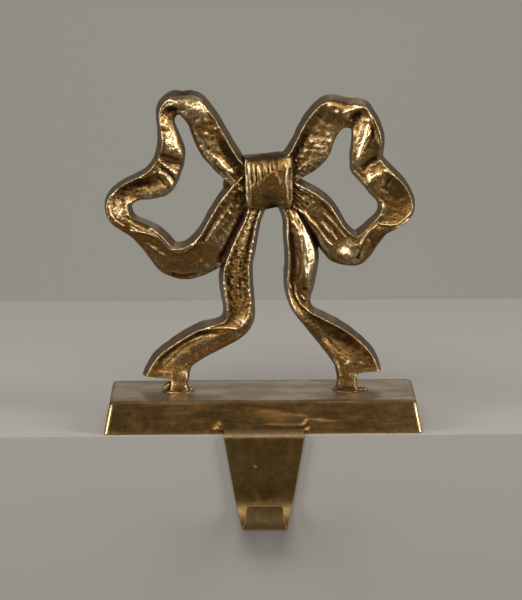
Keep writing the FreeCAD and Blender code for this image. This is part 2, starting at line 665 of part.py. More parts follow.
def make_bow():
    left = -dim("left_foot_place")
    right = dim("right_foot_place")
    half_foot = dim("foot_width") / 2
    top = dim("base_height")
    front = dim("bow_back") - dim("foot_thickness")
    nub = dim("nub_radius")
    middle = dim("bow_back") - dim("foot_thickness") / 2
    down_and_left, to_the_right = 225, 90
    puddle = {
        "Radius1": dim("puddle_width") / 2,
        "Radius2": dim("foot_width") / 2,
        "Height": dim("puddle_rise"),
    }
    welds = [
        add_solid("Part::Cone", "left_puddle", {**puddle, **at(left, middle, top)}),
        add_solid("Part::Cone", "right_puddle", {**puddle, **at(right, middle, top)}),
        make_weld_run("left_nub", at(left + half_foot - nub, front + nub, top + nub * 0.6),
                      nub, nub * 2.5, to_the_right),
        make_weld_run("left_weld", at(left - half_foot + nub, front + nub * 2, top + nub * 3.2),
                      nub * 1.3, nub * 4, down_and_left),
        make_weld_run("right_weld", at(right + half_foot - nub, front + nub * 2, top + nub * 0.2),
                      nub, nub * 4, to_the_right),
    ]
    melted = doc.addObject("Part::MultiFuse", "weld_metal")
    melted.Shapes = welds
    below = add_solid("Part::Box", "under_the_block_top", {
        "Length": dim("base_length"),
        "Width": dim("base_depth"),
        "Height": dim("base_height"),
        "Placement.Base.x": -dim("base_length") / 2,
        "Placement.Base.y": -dim("base_depth") / 2,
    })
    bottomed = doc.addObject("Part::Cut", "weld_metal_on_block")
    bottomed.Base = melted
    bottomed.Tool = below

    # Each piece of the casting runs on behind the back by its own depth, so no two backs
    # lie in one plane before they are joined and cut off together.
    named = (("left_upper", LEFT_UPPER), ("left_lower", LEFT_LOWER),
             ("right_upper", RIGHT_UPPER), ("right_lower", RIGHT_LOWER),
             ("left_tail", LEFT_TAIL), ("right_tail", RIGHT_TAIL))
    spares = [1.0, 1.0, 1.3, 1.3, 1.6, 1.9, 2.2]
    ribbons = [add_shape(name, make_ribbon(rungs, spare))
               for (name, rungs), spare in zip(named, spares)]
    band = add_shape("knot_band", make_knot(spares[6]))
    feet = [make_foot("left_foot", left), make_foot("right_foot", right)]
    doc.recompute()
    joined = doc.addObject("Part::MultiFuse", "joined_casting")
    joined.Shapes = ribbons + [band] + feet + [bottomed]
    behind = add_solid("Part::Box", "behind_the_back", {
        "Length": dim("bow_width") * 2,
        "Width": dim("base_depth"),
        "Height": dim("bow_height") * 2,
        "Placement.Base.x": -dim("bow_width"),
        "Placement.Base.y": dim("bow_back"),
        "Placement.Base.z": -dim("bow_height") / 2,
    })
    bow = doc.addObject("Part::Cut", "bow")
    bow.Base = joined
    bow.Tool = behind
    bow.Label = "bow"
    doc.recompute()
    return bow


pieces = [make_base_block(), make_stocking_hook(), make_bow()]

for thing in doc.Objects:
    if "Invalid" in thing.State or "Error" in thing.State:
        raise RuntimeError("%s did not build: %s" % (thing.Label, thing.State))
os.makedirs("parts", exist_ok=True)
for piece in pieces:
    shape = piece.Shape
    if shape.isNull() or not shape.isValid() or not shape.Solids:
        raise RuntimeError("%s has no sound solid" % piece.Label)
for piece in pieces:
    shape = piece.Shape
    box = shape.BoundBox
    shape.exportStep("parts/%s.step" % piece.Label)
    print("%-14s %d solid, %.1f cm3, x %.2f..%.2f y %.2f..%.2f z %.2f..%.2f" % (
        piece.Label, len(shape.Solids), shape.Volume / 1000.0,
        box.XMin, box.XMax, box.YMin, box.YMax, box.ZMin, box.ZMax))
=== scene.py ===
import math
import bmesh
import bpy
import numpy as np
from mathutils import Matrix, Vector, noise


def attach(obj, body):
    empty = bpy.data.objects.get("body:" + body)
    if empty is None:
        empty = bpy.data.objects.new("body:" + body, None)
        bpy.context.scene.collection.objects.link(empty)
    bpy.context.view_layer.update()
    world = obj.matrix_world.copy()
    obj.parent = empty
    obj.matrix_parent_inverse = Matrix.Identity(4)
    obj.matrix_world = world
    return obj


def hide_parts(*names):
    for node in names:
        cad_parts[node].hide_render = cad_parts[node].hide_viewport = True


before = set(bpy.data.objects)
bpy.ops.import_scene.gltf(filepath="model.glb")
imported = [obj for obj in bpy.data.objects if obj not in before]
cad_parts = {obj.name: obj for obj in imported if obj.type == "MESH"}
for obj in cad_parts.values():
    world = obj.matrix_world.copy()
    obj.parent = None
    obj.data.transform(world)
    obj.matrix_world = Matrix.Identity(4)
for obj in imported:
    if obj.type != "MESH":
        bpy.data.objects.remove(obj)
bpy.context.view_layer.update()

# The bow. One brass casting: a ribbon of two loops and two tails held by a pleated knot, flat
# behind, its front folded and rimmed like ribbon. It was tumbled and patinated dark, then
# rubbed on its high places, and its two feet are brazed to the block.
MM = 0.001
BACK = 5.0
FRONT = 10.0
BLOCK_TOP = 14.3


def held_curve(controls, places):
    # A smooth cubic through a row of control values, held at both of its ends.
    controls = np.asarray(controls, float)
    count = len(controls)
    spans = count - 3
    knots = np.concatenate([np.zeros(3), np.arange(spans + 1), np.full(3, spans)])
    t = np.clip(np.asarray(places, float), 0, spans - 1e-9)
    share = [((knots[i] <= t) & (t < knots[i + 1])).astype(float) for i in range(count + 3)]
    for d in (1, 2, 3):
        raised = []
        for i in range(len(share) - 1):
            value = np.zeros_like(t)
            if knots[i + d] > knots[i]:
                value += (t - knots[i]) / (knots[i + d] - knots[i]) * share[i]
            if knots[i + d + 1] > knots[i + 1]:
                value += (knots[i + d + 1] - t) / (knots[i + d + 1] - knots[i + 1]) * share[i + 1]
            raised.append(value)
        share = raised
    return np.stack(share, -1) @ controls


def sharpened(rows, strength=0.7):
    rows = np.asarray(rows, float)
    sharp = rows.copy()
    soft = (rows[:-2] + rows[1:-1] * 4 + rows[2:]) / 6
    sharp[1:-1] = rows[1:-1] + (rows[1:-1] - soft) * strength
    return sharp


# Where the camera stood decides which place on the bow's front a reading belongs to: its
# turn, height angle and roll, the point it looked at, how far off it stood in millimetres,
# and how long its lens was in readings.
LOOK = (math.radians(-0.480), math.radians(10.812), math.radians(-0.253))
AIM = (-0.552, 0.0, 54.995)
AWAY = 1363.93
REACH = 3086.0
PICTURE_WIDE, PICTURE_TALL = 522, 600
MARKED_PLANE = -4.0


def camera_stand():
    # Where the camera is, and which ways its right, its top and its back point.
    turn, height, roll = LOOK
    back = np.array([math.sin(turn) * math.cos(height), -math.cos(turn) * math.cos(height),
                     math.sin(height)])
    right = np.array([math.cos(turn), math.sin(turn), 0.0])
    up = np.cross(back, right)
    rolled_right = math.cos(roll) * right + math.sin(roll) * up
    rolled_up = math.cos(roll) * up - math.sin(roll) * right
    return np.array(AIM) + back * AWAY, rolled_right, rolled_up, back


def on_front(px, py, plane):
    # The place (x, z) in millimetres that a reading meets on an upright plane of the bow.
    stand, right, up, back = camera_stand()
    ray = (px - PICTURE_WIDE / 2) / REACH * right - (py - PICTURE_TALL / 2) / REACH * up - back
    hit = stand + ray * (plane - stand[1]) / ray[1]
    return hit[0], hit[2]


# Rungs across each ribbon: its two edges at the flat back, as (x, z) in millimetres, and how
# far its front lies below the highest relief at the first edge, a fold, the middle, a fold
# and the second edge.
LEFT_UPPER = [
    ((-2.0, 111.0), (-8.5, 101.5), (2.0, 3.0, 4.0, 3.0, 3.0)),
    ((-7.5, 118.0), (-15.5, 107.0), (1.0, 3.0, 3.5, 2.5, 3.0)),
    ((-11.0, 123.5), (-22.0, 113.5), (0.8, 2.5, 2.2, 1.2, 2.2)),
    ((-14.5, 129.5), (-27.5, 120.5), (0.8, 1.8, 1.6, 1.5, 2.0)),
    ((-17.5, 135.0), (-30.5, 127.5), (1.0, 1.0, 1.2, 1.5, 2.0)),
    ((-21.0, 140.5), (-32.5, 133.5), (1.5, 0.6, 0.6, 1.2, 2.0)),
    ((-25.0, 145.5), (-35.0, 136.0), (2.2, 0.5, 0.3, 0.8, 2.2)),
    ((-30.0, 148.0), (-36.0, 137.0), (2.5, 0.8, 0.3, 1.2, 2.8)),
    ((-34.6, 147.4), (-36.9, 136.8), (2.2, 1.0, 0.9, 2.4, 3.4)),
    ((-39.0, 148.0), (-37.5, 136.0), (1.8, 1.0, 1.5, 3.5, 4.0)),
    ((-44.0, 144.5), (-38.0, 134.5), (1.0, 1.8, 3.0, 3.5, 3.5)),
    ((-46.5, 139.0), (-37.5, 132.5), (1.0, 1.8, 2.5, 2.8, 3.0)),
    ((-45.5, 128.5), (-34.5, 125.5), (1.0, 0.6, 0.4, 0.8, 2.0)),
    ((-46.0, 123.0), (-33.0, 120.0), (1.2, 0.3, 0.0, 0.3, 1.8)),
    ((-47.5, 118.0), (-34.0, 115.5), (2.0, 2.4, 2.6, 2.4, 2.5)),
]
LEFT_LOWER = [
    ((-47.5, 118.0), (-34.0, 115.5), (2.0, 2.4, 2.6, 2.4, 2.5)),
    ((-49.5, 115.0), (-35.5, 110.5), (1.2, 0.8, 0.6, 0.8, 1.8)),
    ((-52.0, 113.0), (-38.5, 103.0), (0.8, 2.8, 3.0, 1.4, 1.8)),
    ((-55.0, 111.5), (-45.5, 100.0), (0.8, 3.2, 3.6, 3.0, 2.5)),
    ((-59.5, 109.5), (-51.0, 99.5), (0.8, 3.0, 3.8, 3.5, 2.6)),
    ((-64.0, 106.5), (-54.5, 99.0), (0.8, 2.8, 3.6, 3.6, 2.8)),
    ((-68.0, 102.5), (-57.0, 97.5), (0.8, 2.4, 3.0, 3.0, 2.4)),
    ((-69.5, 97.5), (-57.0, 96.0), (0.8, 1.8, 2.4, 2.3, 1.9)),
    ((-68.5, 92.0), (-56.0, 93.5), (0.8, 1.4, 1.6, 1.6, 1.4)),
    ((-65.5, 88.0), (-53.5, 91.5), (1.0, 1.4, 1.6, 1.5, 1.2)),
    ((-57.5, 83.0), (-45.5, 88.5), (3.0, 2.4, 1.8, 1.2, 0.6)),
    ((-49.5, 73.0), (-39.5, 82.5), (4.0, 2.5, 1.8, 1.2, 0.6)),
    ((-44.9, 66.7), (-37.5, 80.5), (4.2, 2.6, 1.6, 1.2, 0.6)),
    ((-34.4, 63.2), (-33.0, 81.5), (4.0, 2.6, 1.8, 1.4, 0.6)),
    ((-27.5, 65.0), (-29.5, 85.0), (4.0, 2.8, 2.4, 1.6, 0.6)),
    ((-20.6, 67.7), (-27.0, 88.0), (4.0, 3.0, 2.6, 1.6, 0.8)),
    ((-12.6, 74.5), (-22.0, 97.5), (4.0, 3.4, 2.8, 2.0, 1.0)),
    ((-4.5, 88.5), (-15.5, 106.5), (4.0, 4.0, 3.5, 3.0, 2.0)),
    ((2.5, 98.0), (-8.5, 113.5), (4.0, 4.0, 4.0, 4.0, 3.0)),
]
RIGHT_UPPER = [
    ((3.0, 113.0), (10.5, 103.5), (2.0, 3.0, 4.0, 3.0, 3.0)),
    ((9.0, 120.0), (17.0, 108.5), (1.0, 3.0, 3.2, 2.6, 2.8)),
    ((13.0, 125.5), (24.0, 112.0), (0.8, 2.6, 2.2, 1.4, 2.4)),
    ((16.0, 132.5), (30.0, 118.5), (0.8, 2.2, 1.4, 0.8, 2.0)),
    ((20.0, 138.5), (32.0, 125.5), (0.8, 2.0, 1.6, 1.0, 1.8)),
    ((24.0, 143.0), (35.0, 130.0), (1.2, 1.6, 1.8, 1.8, 2.2)),
    ((28.5, 145.5), (37.0, 131.0), (2.0, 0.6, 1.0, 1.8, 2.8)),
    ((33.0, 145.5), (38.0, 131.0), (2.4, 0.8, 0.4, 1.6, 3.2)),
    ((38.5, 144.0), (39.0, 130.5), (2.4, 1.2, 0.6, 2.6, 3.6)),
    ((43.0, 144.0), (39.5, 130.0), (1.8, 0.8, 1.4, 3.6, 3.6)),
    ((47.0, 142.5), (39.5, 129.0), (0.6, 0.8, 3.0, 3.2, 2.6)),
    ((49.5, 138.5), (39.5, 126.5), (0.6, 1.8, 1.6, 1.4, 2.0)),
    ((52.5, 133.5), (39.0, 122.5), (0.6, 1.6, 1.0, 0.8, 1.6)),
    ((54.5, 126.0), (38.5, 117.0), (0.8, 1.2, 1.0, 0.6, 1.4)),
    ((53.5, 118.5), (39.0, 112.0), (3.0, 3.0, 2.4, 1.6, 1.8)),
]
RIGHT_LOWER = [
    ((53.5, 118.5), (39.0, 112.0), (3.0, 3.0, 2.4, 1.6, 1.8)),
    ((55.0, 116.5), (41.0, 109.0), (2.2, 3.2, 3.4, 3.0, 2.6)),
    ((58.0, 113.5), (44.0, 106.0), (0.8, 1.2, 1.4, 1.6, 2.0)),
    ((62.0, 109.5), (46.5, 102.5), (0.6, 2.0, 1.4, 1.0, 1.6)),
    ((65.5, 104.5), (49.0, 100.0), (0.6, 2.6, 3.4, 2.4, 2.0)),
    ((67.5, 99.0), (51.0, 97.5), (0.6, 2.6, 3.6, 3.0, 2.2)),
    ((67.5, 94.5), (51.0, 95.0), (0.6, 2.4, 3.2, 3.0, 2.0)),
    ((66.0, 90.5), (49.5, 92.5), (0.6, 2.0, 2.8, 2.6, 1.6)),
    ((58.5, 85.5), (45.5, 89.0), (1.6, 1.4, 1.2, 1.2, 0.8)),
    ((55.0, 83.5), (44.0, 87.5), (3.2, 2.2, 1.0, 0.6, 0.8)),
    ((50.0, 76.5), (42.0, 86.0), (4.2, 3.0, 1.2, 0.8, 1.2)),
    ((46.5, 72.0), (41.0, 85.5), (4.2, 2.8, 0.8, 1.2, 1.8)),
    ((42.0, 69.0), (40.0, 86.0), (3.6, 1.6, 0.8, 1.8, 2.0)),
    ((32.0, 70.5), (37.0, 89.0), (3.0, 1.6, 2.0, 2.0, 1.8)),
    ((27.5, 74.5), (35.5, 92.0), (3.0, 2.2, 2.2, 2.2, 1.6)),
    ((20.0, 85.0), (30.5, 100.0), (3.4, 2.8, 2.4, 2.4, 1.6)),
    ((14.0, 94.0), (24.0, 105.0), (3.6, 3.0, 3.0, 3.0, 2.2)),
    ((9.0, 100.0), (17.0, 108.5), (3.6, 3.5, 3.5, 3.5, 2.6)),
    ((4.0, 105.0), (10.0, 112.0), (4.0, 4.0, 4.0, 4.0, 3.0)),
]
LEFT_TAIL = [
    ((-8.0, 104.5), (5.5, 104.0), (3.0, 3.0, 3.0, 3.0, 3.0)),
    ((-7.5, 96.0), (1.5, 94.5), (1.6, 2.2, 1.4, 2.0, 1.6)),
    ((-11.0, 88.5), (-1.0, 88.0), (0.6, 1.8, 1.0, 1.8, 0.8)),
    ((-15.0, 80.0), (-2.0, 79.5), (0.3, 1.8, 0.8, 1.8, 0.6)),
    ((-18.0, 71.5), (-4.0, 71.5), (0.3, 2.0, 1.0, 1.8, 0.8)),
    ((-19.5, 63.5), (-4.0, 63.5), (0.5, 2.2, 1.2, 1.8, 0.8)),
    ((-17.5, 52.0), (-3.0, 49.0), (1.5, 2.6, 2.4, 1.2, 0.8)),
    ((-17.5, 48.5), (-4.0, 43.5), (2.2, 2.8, 1.8, 0.8, 1.2)),
    ((-19.0, 46.5), (-7.0, 39.0), (2.5, 2.4, 1.6, 1.0, 2.0)),
    ((-23.5, 45.5), (-12.5, 35.0), (1.2, 1.8, 1.4, 2.0, 3.6)),
    ((-30.5, 43.5), (-21.5, 30.5), (0.6, 1.8, 1.0, 2.4, 4.0)),
    ((-43.5, 35.0), (-30.5, 25.5), (0.5, 1.8, 0.6, 1.8, 3.0)),
    ((-48.5, 30.5), (-32.0, 22.5), (0.5, 1.6, 0.6, 1.4, 2.0)),
    ((-52.0, 25.0), (-32.5, 20.0), (0.5, 1.4, 0.6, 1.2, 1.2)),
    ((-53.5, 20.5), (-33.0, 17.5), (0.6, 1.2, 0.8, 1.0, 1.0)),
]
RIGHT_TAIL = [
    ((1.0, 104.5), (14.0, 104.0), (3.0, 3.0, 3.0, 3.0, 3.0)),
    ((8.5, 94.5), (17.0, 95.5), (1.6, 2.0, 1.6, 2.0, 1.6)),
    ((9.0, 87.0), (21.0, 88.5), (0.8, 1.8, 0.8, 1.2, 1.4)),
    ((9.5, 80.0), (24.0, 81.0), (0.5, 1.8, 0.8, 0.6, 1.6)),
    ((10.0, 74.0), (25.5, 74.5), (0.5, 1.8, 1.0, 0.4, 1.8)),
    ((9.5, 67.5), (24.5, 67.5), (0.5, 2.0, 1.4, 0.8, 2.0)),
    ((9.5, 60.5), (23.0, 60.0), (0.5, 2.2, 2.0, 1.6, 2.6)),
    ((11.0, 54.5), (21.5, 55.0), (0.6, 1.8, 2.6, 2.6, 3.0)),
    ((13.0, 49.5), (22.0, 52.0), (1.0, 0.8, 1.8, 2.2, 1.6)),
    ((16.0, 45.5), (24.5, 50.0), (2.0, 1.4, 1.6, 1.4, 0.8)),
    ((24.0, 35.5), (35.0, 45.0), (2.6, 1.8, 2.2, 1.8, 0.5)),
    ((31.0, 26.5), (48.0, 34.5), (1.4, 1.2, 2.6, 2.4, 0.5)),
    ((32.5, 23.5), (51.5, 28.0), (1.0, 1.6, 2.6, 2.2, 0.5)),
    ((33.0, 19.5), (53.0, 22.0), (1.0, 1.6, 2.0, 1.6, 0.6)),
]

# Folds, rims and dents of the front, read off enlargements of the photograph. Each table
# gives its enlargement's corner, how many times larger it is, and its marks. A mark is a
# height (a dent is negative) and a half width in millimetres, and the readings that it runs
# through; one reading makes a round bump.
ENLARGED = 7.84
LEFT_LOOP_MARKS = ((100, 80), ENLARGED, [
    (0.7, 0.45, [(850, 240), (900, 300), (950, 370), (990, 450), (1030, 540), (1080, 620),
                 (1135, 675)]),
    (-0.6, 1.4, [(930, 470), (980, 560), (1060, 660), (1105, 700)]),
    (0.9, 0.8, [(880, 590), (930, 630), (980, 690), (1070, 745)]),
    (-0.5, 0.5, [(900, 660), (960, 730), (1010, 770)]),
    (0.4, 0.8, [(825, 315)]), (0.4, 0.8, [(905, 380)]), (0.4, 0.9, [(830, 420)]),
    (-0.5, 0.8, [(870, 350)]), (-0.5, 0.9, [(880, 470)]), (0.35, 0.8, [(920, 555)]),
    (-0.4, 0.8, [(780, 370)]), (0.3, 0.8, [(760, 430)]), (-0.5, 0.9, [(850, 540)]),
    (0.3, 0.7, [(700, 200)]), (-0.3, 0.6, [(750, 190)]), (0.3, 0.6, [(680, 290)]),
    (0.6, 0.4, [(475, 290), (485, 245), (520, 205), (585, 192)]),
    (0.5, 0.4, [(555, 150), (590, 170), (598, 195)]),
    (-1.2, 1.2, [(510, 270), (560, 235), (620, 235)]),
    (-0.6, 0.9, [(540, 300), (545, 340)]),
    (0.5, 0.8, [(490, 345), (520, 370)]), (-0.5, 0.5, [(470, 400), (540, 400)]),
    (0.8, 1.8, [(520, 450), (560, 510), (610, 560)]),
    (-0.6, 0.45, [(578, 528)]), (-0.4, 0.4, [(540, 470)]),
    (0.5, 0.4, [(483, 430), (490, 500), (484, 560)]),
    (-0.8, 1.4, [(440, 592), (520, 605), (580, 622), (645, 632)]),
    (0.8, 0.7, [(450, 632), (500, 662), (550, 700), (600, 745)]),
    (-1.0, 0.6, [(470, 690), (530, 720), (580, 780), (600, 810)]),
    (0.8, 0.6, [(455, 722), (500, 742), (540, 785), (562, 840)]),
    (-0.7, 0.7, [(440, 760), (480, 790), (520, 850)]),
    (0.6, 0.4, [(140, 850), (165, 815), (200, 790), (260, 772), (340, 768), (400, 750),
                (435, 718)]),
    (-1.0, 1.5, [(240, 840), (320, 830), (420, 820)]),
    (-0.7, 0.5, [(300, 840)]), (-0.6, 0.5, [(380, 850)]), (-0.6, 0.5, [(285, 890)]),
    (0.4, 0.5, [(340, 860)]), (0.3, 0.5, [(400, 900)]), (-0.4, 0.5, [(240, 870)]),
    (0.6, 0.4, [(130, 865), (90, 930), (72, 1010), (85, 1060), (120, 1105), (190, 1150)]),
    (-0.4, 0.7, [(110, 990)]),
    (-0.4, 0.6, [(180, 950)]), (0.35, 0.5, [(150, 900)]), (-0.35, 0.5, [(190, 1010)]),
    (0.5, 0.6, [(215, 1062)]),
    (0.55, 0.4, [(230, 1180), (300, 1192), (400, 1208), (450, 1238)]),
])
RIGHT_LOOP_MARKS = ((240, 80), ENLARGED, [
    (0.7, 0.45, [(370, 620), (405, 560), (430, 510), (480, 400), (540, 295), (600, 215),
                 (650, 180)]),
    (-0.9, 1.3, [(400, 640), (470, 520), (520, 420)]),
    (0.5, 0.8, [(710, 200)]), (0.5, 0.8, [(765, 255)]), (-0.5, 0.8, [(740, 230)]),
    (-0.9, 1.8, [(600, 320), (650, 270)]),
    (-0.7, 1.2, [(680, 330), (720, 350)]),
    (0.6, 1.0, [(570, 480)]), (0.6, 0.9, [(610, 520)]), (0.5, 0.8, [(640, 570)]),
    (0.6, 0.8, [(690, 480)]), (0.4, 0.6, [(692, 425)]), (-0.5, 0.7, [(600, 430)]),
    (-0.5, 0.6, [(650, 510)]), (-0.4, 0.6, [(560, 540)]), (-0.4, 0.6, [(660, 440)]),
    (-0.5, 0.8, [(540, 600)]), (0.4, 0.6, [(520, 560)]), (0.4, 0.7, [(440, 640)]),
    (0.3, 0.6, [(500, 680), (560, 660), (620, 620)]),
    (0.4, 0.5, [(800, 262), (860, 238), (920, 222), (980, 211)]),
    (0.8, 0.45, [(985, 211), (1003, 240), (1020, 290), (1040, 350), (1060, 410), (1095, 520)]),
    (-1.7, 1.8, [(848, 330), (906, 288), (975, 250)]),
    (1.1, 1.0, [(1006, 290), (1014, 345), (995, 440), (958, 540), (925, 640)]),
    (-0.5, 0.6, [(1050, 380), (1040, 450), (990, 560)]), (0.5, 0.4, [(998, 452), (1030, 398)]),
    (-0.5, 1.5, [(1030, 540), (1060, 560)]),
    (-0.5, 0.7, [(930, 370), (900, 500)]), (0.4, 0.6, [(920, 430)]), (0.4, 0.6, [(908, 490)]),
    (-1.3, 1.3, [(1085, 610), (1040, 635), (990, 670), (945, 725)]),
    (1.3, 1.6, [(1118, 722), (1060, 752), (1000, 802)]),
    (0.4, 0.7, [(1000, 820), (1040, 790)]), (-0.4, 0.5, [(1020, 745), (1070, 715)]),
    (-0.8, 1.3, [(1190, 765), (1150, 820), (1115, 885)]),
    (0.6, 0.4, [(1130, 708), (1200, 748), (1270, 802), (1330, 890), (1357, 980), (1340, 1040),
                (1300, 1085), (1240, 1130), (1180, 1140), (1090, 1130)]),
    (-0.5, 2.2, [(1240, 900), (1260, 980)]),
    (0.7, 0.7, [(1120, 985), (1128, 1015)]), (0.3, 0.5, [(1115, 960)]),
    (0.7, 0.5, [(1085, 1130), (1020, 1180), (960, 1252)]),
])
LEFT_TAIL_MARKS = ((130, 200), ENLARGED, [
    (0.55, 0.4, [(0, 212), (60, 245), (130, 260), (205, 282), (250, 322), (310, 385),
                 (380, 415), (430, 408), (485, 365), (520, 320)]),
    (0.9, 0.6, [(490, 370), (560, 270), (600, 195), (650, 110), (700, 25)]),
    (-0.45, 0.5, [(560, 330), (620, 230), (690, 120), (750, 30)]),
    (0.8, 0.38, [(590, 335), (650, 240), (720, 140), (800, 40)]),
    (-0.5, 1.2, [(660, 340), (730, 240), (800, 140)]),
    (0.5, 0.5, [(610, 150)]), (-0.4, 0.4, [(640, 130)]), (0.5, 0.5, [(660, 90)]),
    (0.4, 0.4, [(600, 195)]), (-0.4, 0.4, [(625, 175)]), (0.45, 0.5, [(760, 160)]),
    (0.6, 0.8, [(770, 130), (800, 80)]),
    (0.35, 0.35, [(150, 362), (200, 392), (250, 425), (285, 445)]),
    (-0.4, 0.6, [(130, 320), (220, 380)]),
    (0.5, 0.6, [(560, 485)]), (0.5, 0.5, [(600, 520)]), (0.4, 0.5, [(500, 340), (545, 345)]),
    (-2.2, 1.5, [(710, 490), (750, 410), (795, 320), (850, 215), (900, 120)]),
    (0.7, 0.45, [(840, 232), (795, 330), (755, 420), (738, 520), (738, 600), (748, 700),
                 (760, 800), (766, 935)]),
    (0.45, 0.3, [(850, 380), (853, 460), (850, 520), (846, 640), (850, 780)]),
    (0.4, 0.35, [(853, 440)]), (0.4, 0.35, [(850, 510)]), (0.4, 0.35, [(848, 590)]),
    (0.4, 0.35, [(847, 670)]), (0.4, 0.35, [(850, 740)]), (0.35, 0.35, [(790, 640)]),
    (0.35, 0.4, [(775, 860)]), (0.35, 0.35, [(800, 830)]), (-0.35, 0.4, [(830, 880)]),
    (-0.8, 1.4, [(850, 420), (845, 600), (850, 800)]),
    (0.4, 0.4, [(895, 670), (930, 720)]),
    (0.7, 0.4, [(1012, 100), (980, 250), (942, 400), (930, 560), (936, 700), (948, 820),
                (930, 920), (865, 1003)]),
    (0.5, 0.35, [(1000, 130), (965, 280)]), (1.7, 1.9, [(908, 925), (862, 975)]),
    (0.6, 0.6, [(900, 180)]), (0.6, 0.6, [(940, 150)]), (-0.5, 0.5, [(920, 200)]),
    (0.5, 0.5, [(900, 250)]), (-0.5, 0.5, [(880, 210)]), (0.4, 0.5, [(870, 300)]),
    (0.65, 0.45, [(115, 1375), (150, 1300), (205, 1215), (270, 1178), (340, 1110), (430, 1052),
                  (540, 1020), (650, 1010), (760, 1005), (850, 1012)]),
    (-0.35, 0.7, [(210, 1280), (300, 1200), (400, 1120), (520, 1060), (700, 1050)]),
    (0.45, 0.4, [(255, 1295), (330, 1222), (380, 1175), (430, 1135), (500, 1100), (570, 1070)]),
    (0.35, 0.4, [(540, 1022)]), (0.35, 0.4, [(580, 1016)]), (0.35, 0.4, [(620, 1014)]),
    (0.35, 0.4, [(490, 1115)]), (0.3, 0.4, [(570, 1140)]), (0.3, 0.4, [(520, 1200)]),
    (0.3, 0.5, [(470, 1275)]), (0.4, 0.5, [(440, 1290)]), (0.35, 0.5, [(400, 1320)]),
    (0.5, 0.45, [(330, 1350), (318, 1460)]), (0.5, 0.45, [(440, 1350), (455, 1450)]),
    (-0.4, 1.5, [(600, 1120), (450, 1200)]),
    (0.4, 0.4, [(160, 1380), (230, 1345), (300, 1350)]),
])
RIGHT_TAIL_MARKS = ((250, 200), ENLARGED, [
    (0.8, 0.4, [(575, -15), (650, 62), (716, 128), (745, 206), (770, 250)]),
    (-0.5, 0.6, [(560, 30), (620, 100), (680, 160)]),
    (0.9, 0.33, [(578, 110), (662, 192), (714, 258), (752, 300)]),
    (-0.4, 0.4, [(575, 150), (640, 220), (690, 280)]),
    (0.75, 0.33, [(558, 175), (616, 250), (640, 262), (682, 318)]),
    (-0.45, 0.6, [(500, 140), (560, 230), (630, 320)]),
    (0.85, 0.4, [(338, 38), (378, 92), (428, 104), (474, 170), (526, 215), (572, 282),
                 (604, 328), (644, 360)]),
    (0.4, 0.35, [(490, 210), (560, 320), (604, 400)]), (0.5, 0.9, [(415, 5)]),
    (0.5, 0.5, [(486, -20)]), (0.4, 0.4, [(496, 26)]), (-0.5, 0.8, [(450, 40)]),
    (0.6, 0.5, [(335, 40), (400, 95), (470, 170)]),
    (-1.5, 0.8, [(360, 80), (430, 180), (500, 300), (560, 405)]),
    (2.0, 2.9, [(775, 362), (724, 478)]), (0.6, 2.2, [(800, 490)]),
    (-1.2, 0.8, [(830, 480), (860, 400), (885, 340)]),
    (0.8, 0.5, [(1000, 187), (930, 240), (885, 320), (855, 400), (830, 450)]),
    (-0.6, 1.2, [(960, 280), (930, 340)]),
    (0.65, 0.4, [(265, 110), (285, 250), (303, 400), (310, 520), (305, 640), (325, 710)]),
    (-0.6, 0.6, [(320, 260), (335, 420), (340, 560)]),
    (0.6, 0.5, [(330, 160), (380, 240), (405, 330), (410, 410)]),
    (0.4, 0.5, [(375, 450), (378, 520), (370, 600)]),
    (1.6, 1.7, [(400, 220), (430, 340), (445, 450), (447, 560), (440, 660)]),
    (1.3, 1.6, [(450, 520), (450, 645)]), (-0.9, 0.9, [(508, 260), (536, 400), (530, 560)]),
    (-0.5, 0.4, [(490, 380), (450, 430)]), (-0.4, 0.4, [(500, 470), (450, 500)]),
    (-1.0, 1.3, [(440, 670), (425, 740)]),
    (0.75, 0.45, [(350, 660), (355, 740), (395, 822), (470, 880), (590, 942), (690, 990),
                  (800, 1052), (900, 1130), (960, 1220), (1003, 1312)]),
    (0.5, 0.4, [(400, 752), (432, 790)]), (0.5, 0.5, [(320, 690)]),
    (-0.6, 2.4, [(600, 1030), (700, 1090), (800, 1150), (880, 1210)]),
    (-0.4, 0.5, [(500, 965)]), (0.4, 0.5, [(530, 1000)]), (0.3, 0.4, [(440, 955)]),
    (0.5, 0.6, [(740, 1300), (785, 1265)]), (0.5, 0.5, [(850, 1270), (900, 1300)]),
    (-0.5, 0.5, [(820, 1300)]), (0.4, 0.4, [(710, 1240)]), (0.4, 0.5, [(930, 1240)]),
    (0.45, 0.5, [(560, 1090), (620, 1160), (670, 1240), (690, 1335)]),
    (-0.4, 0.6, [(600, 1080), (660, 1150), (710, 1200)]),
])
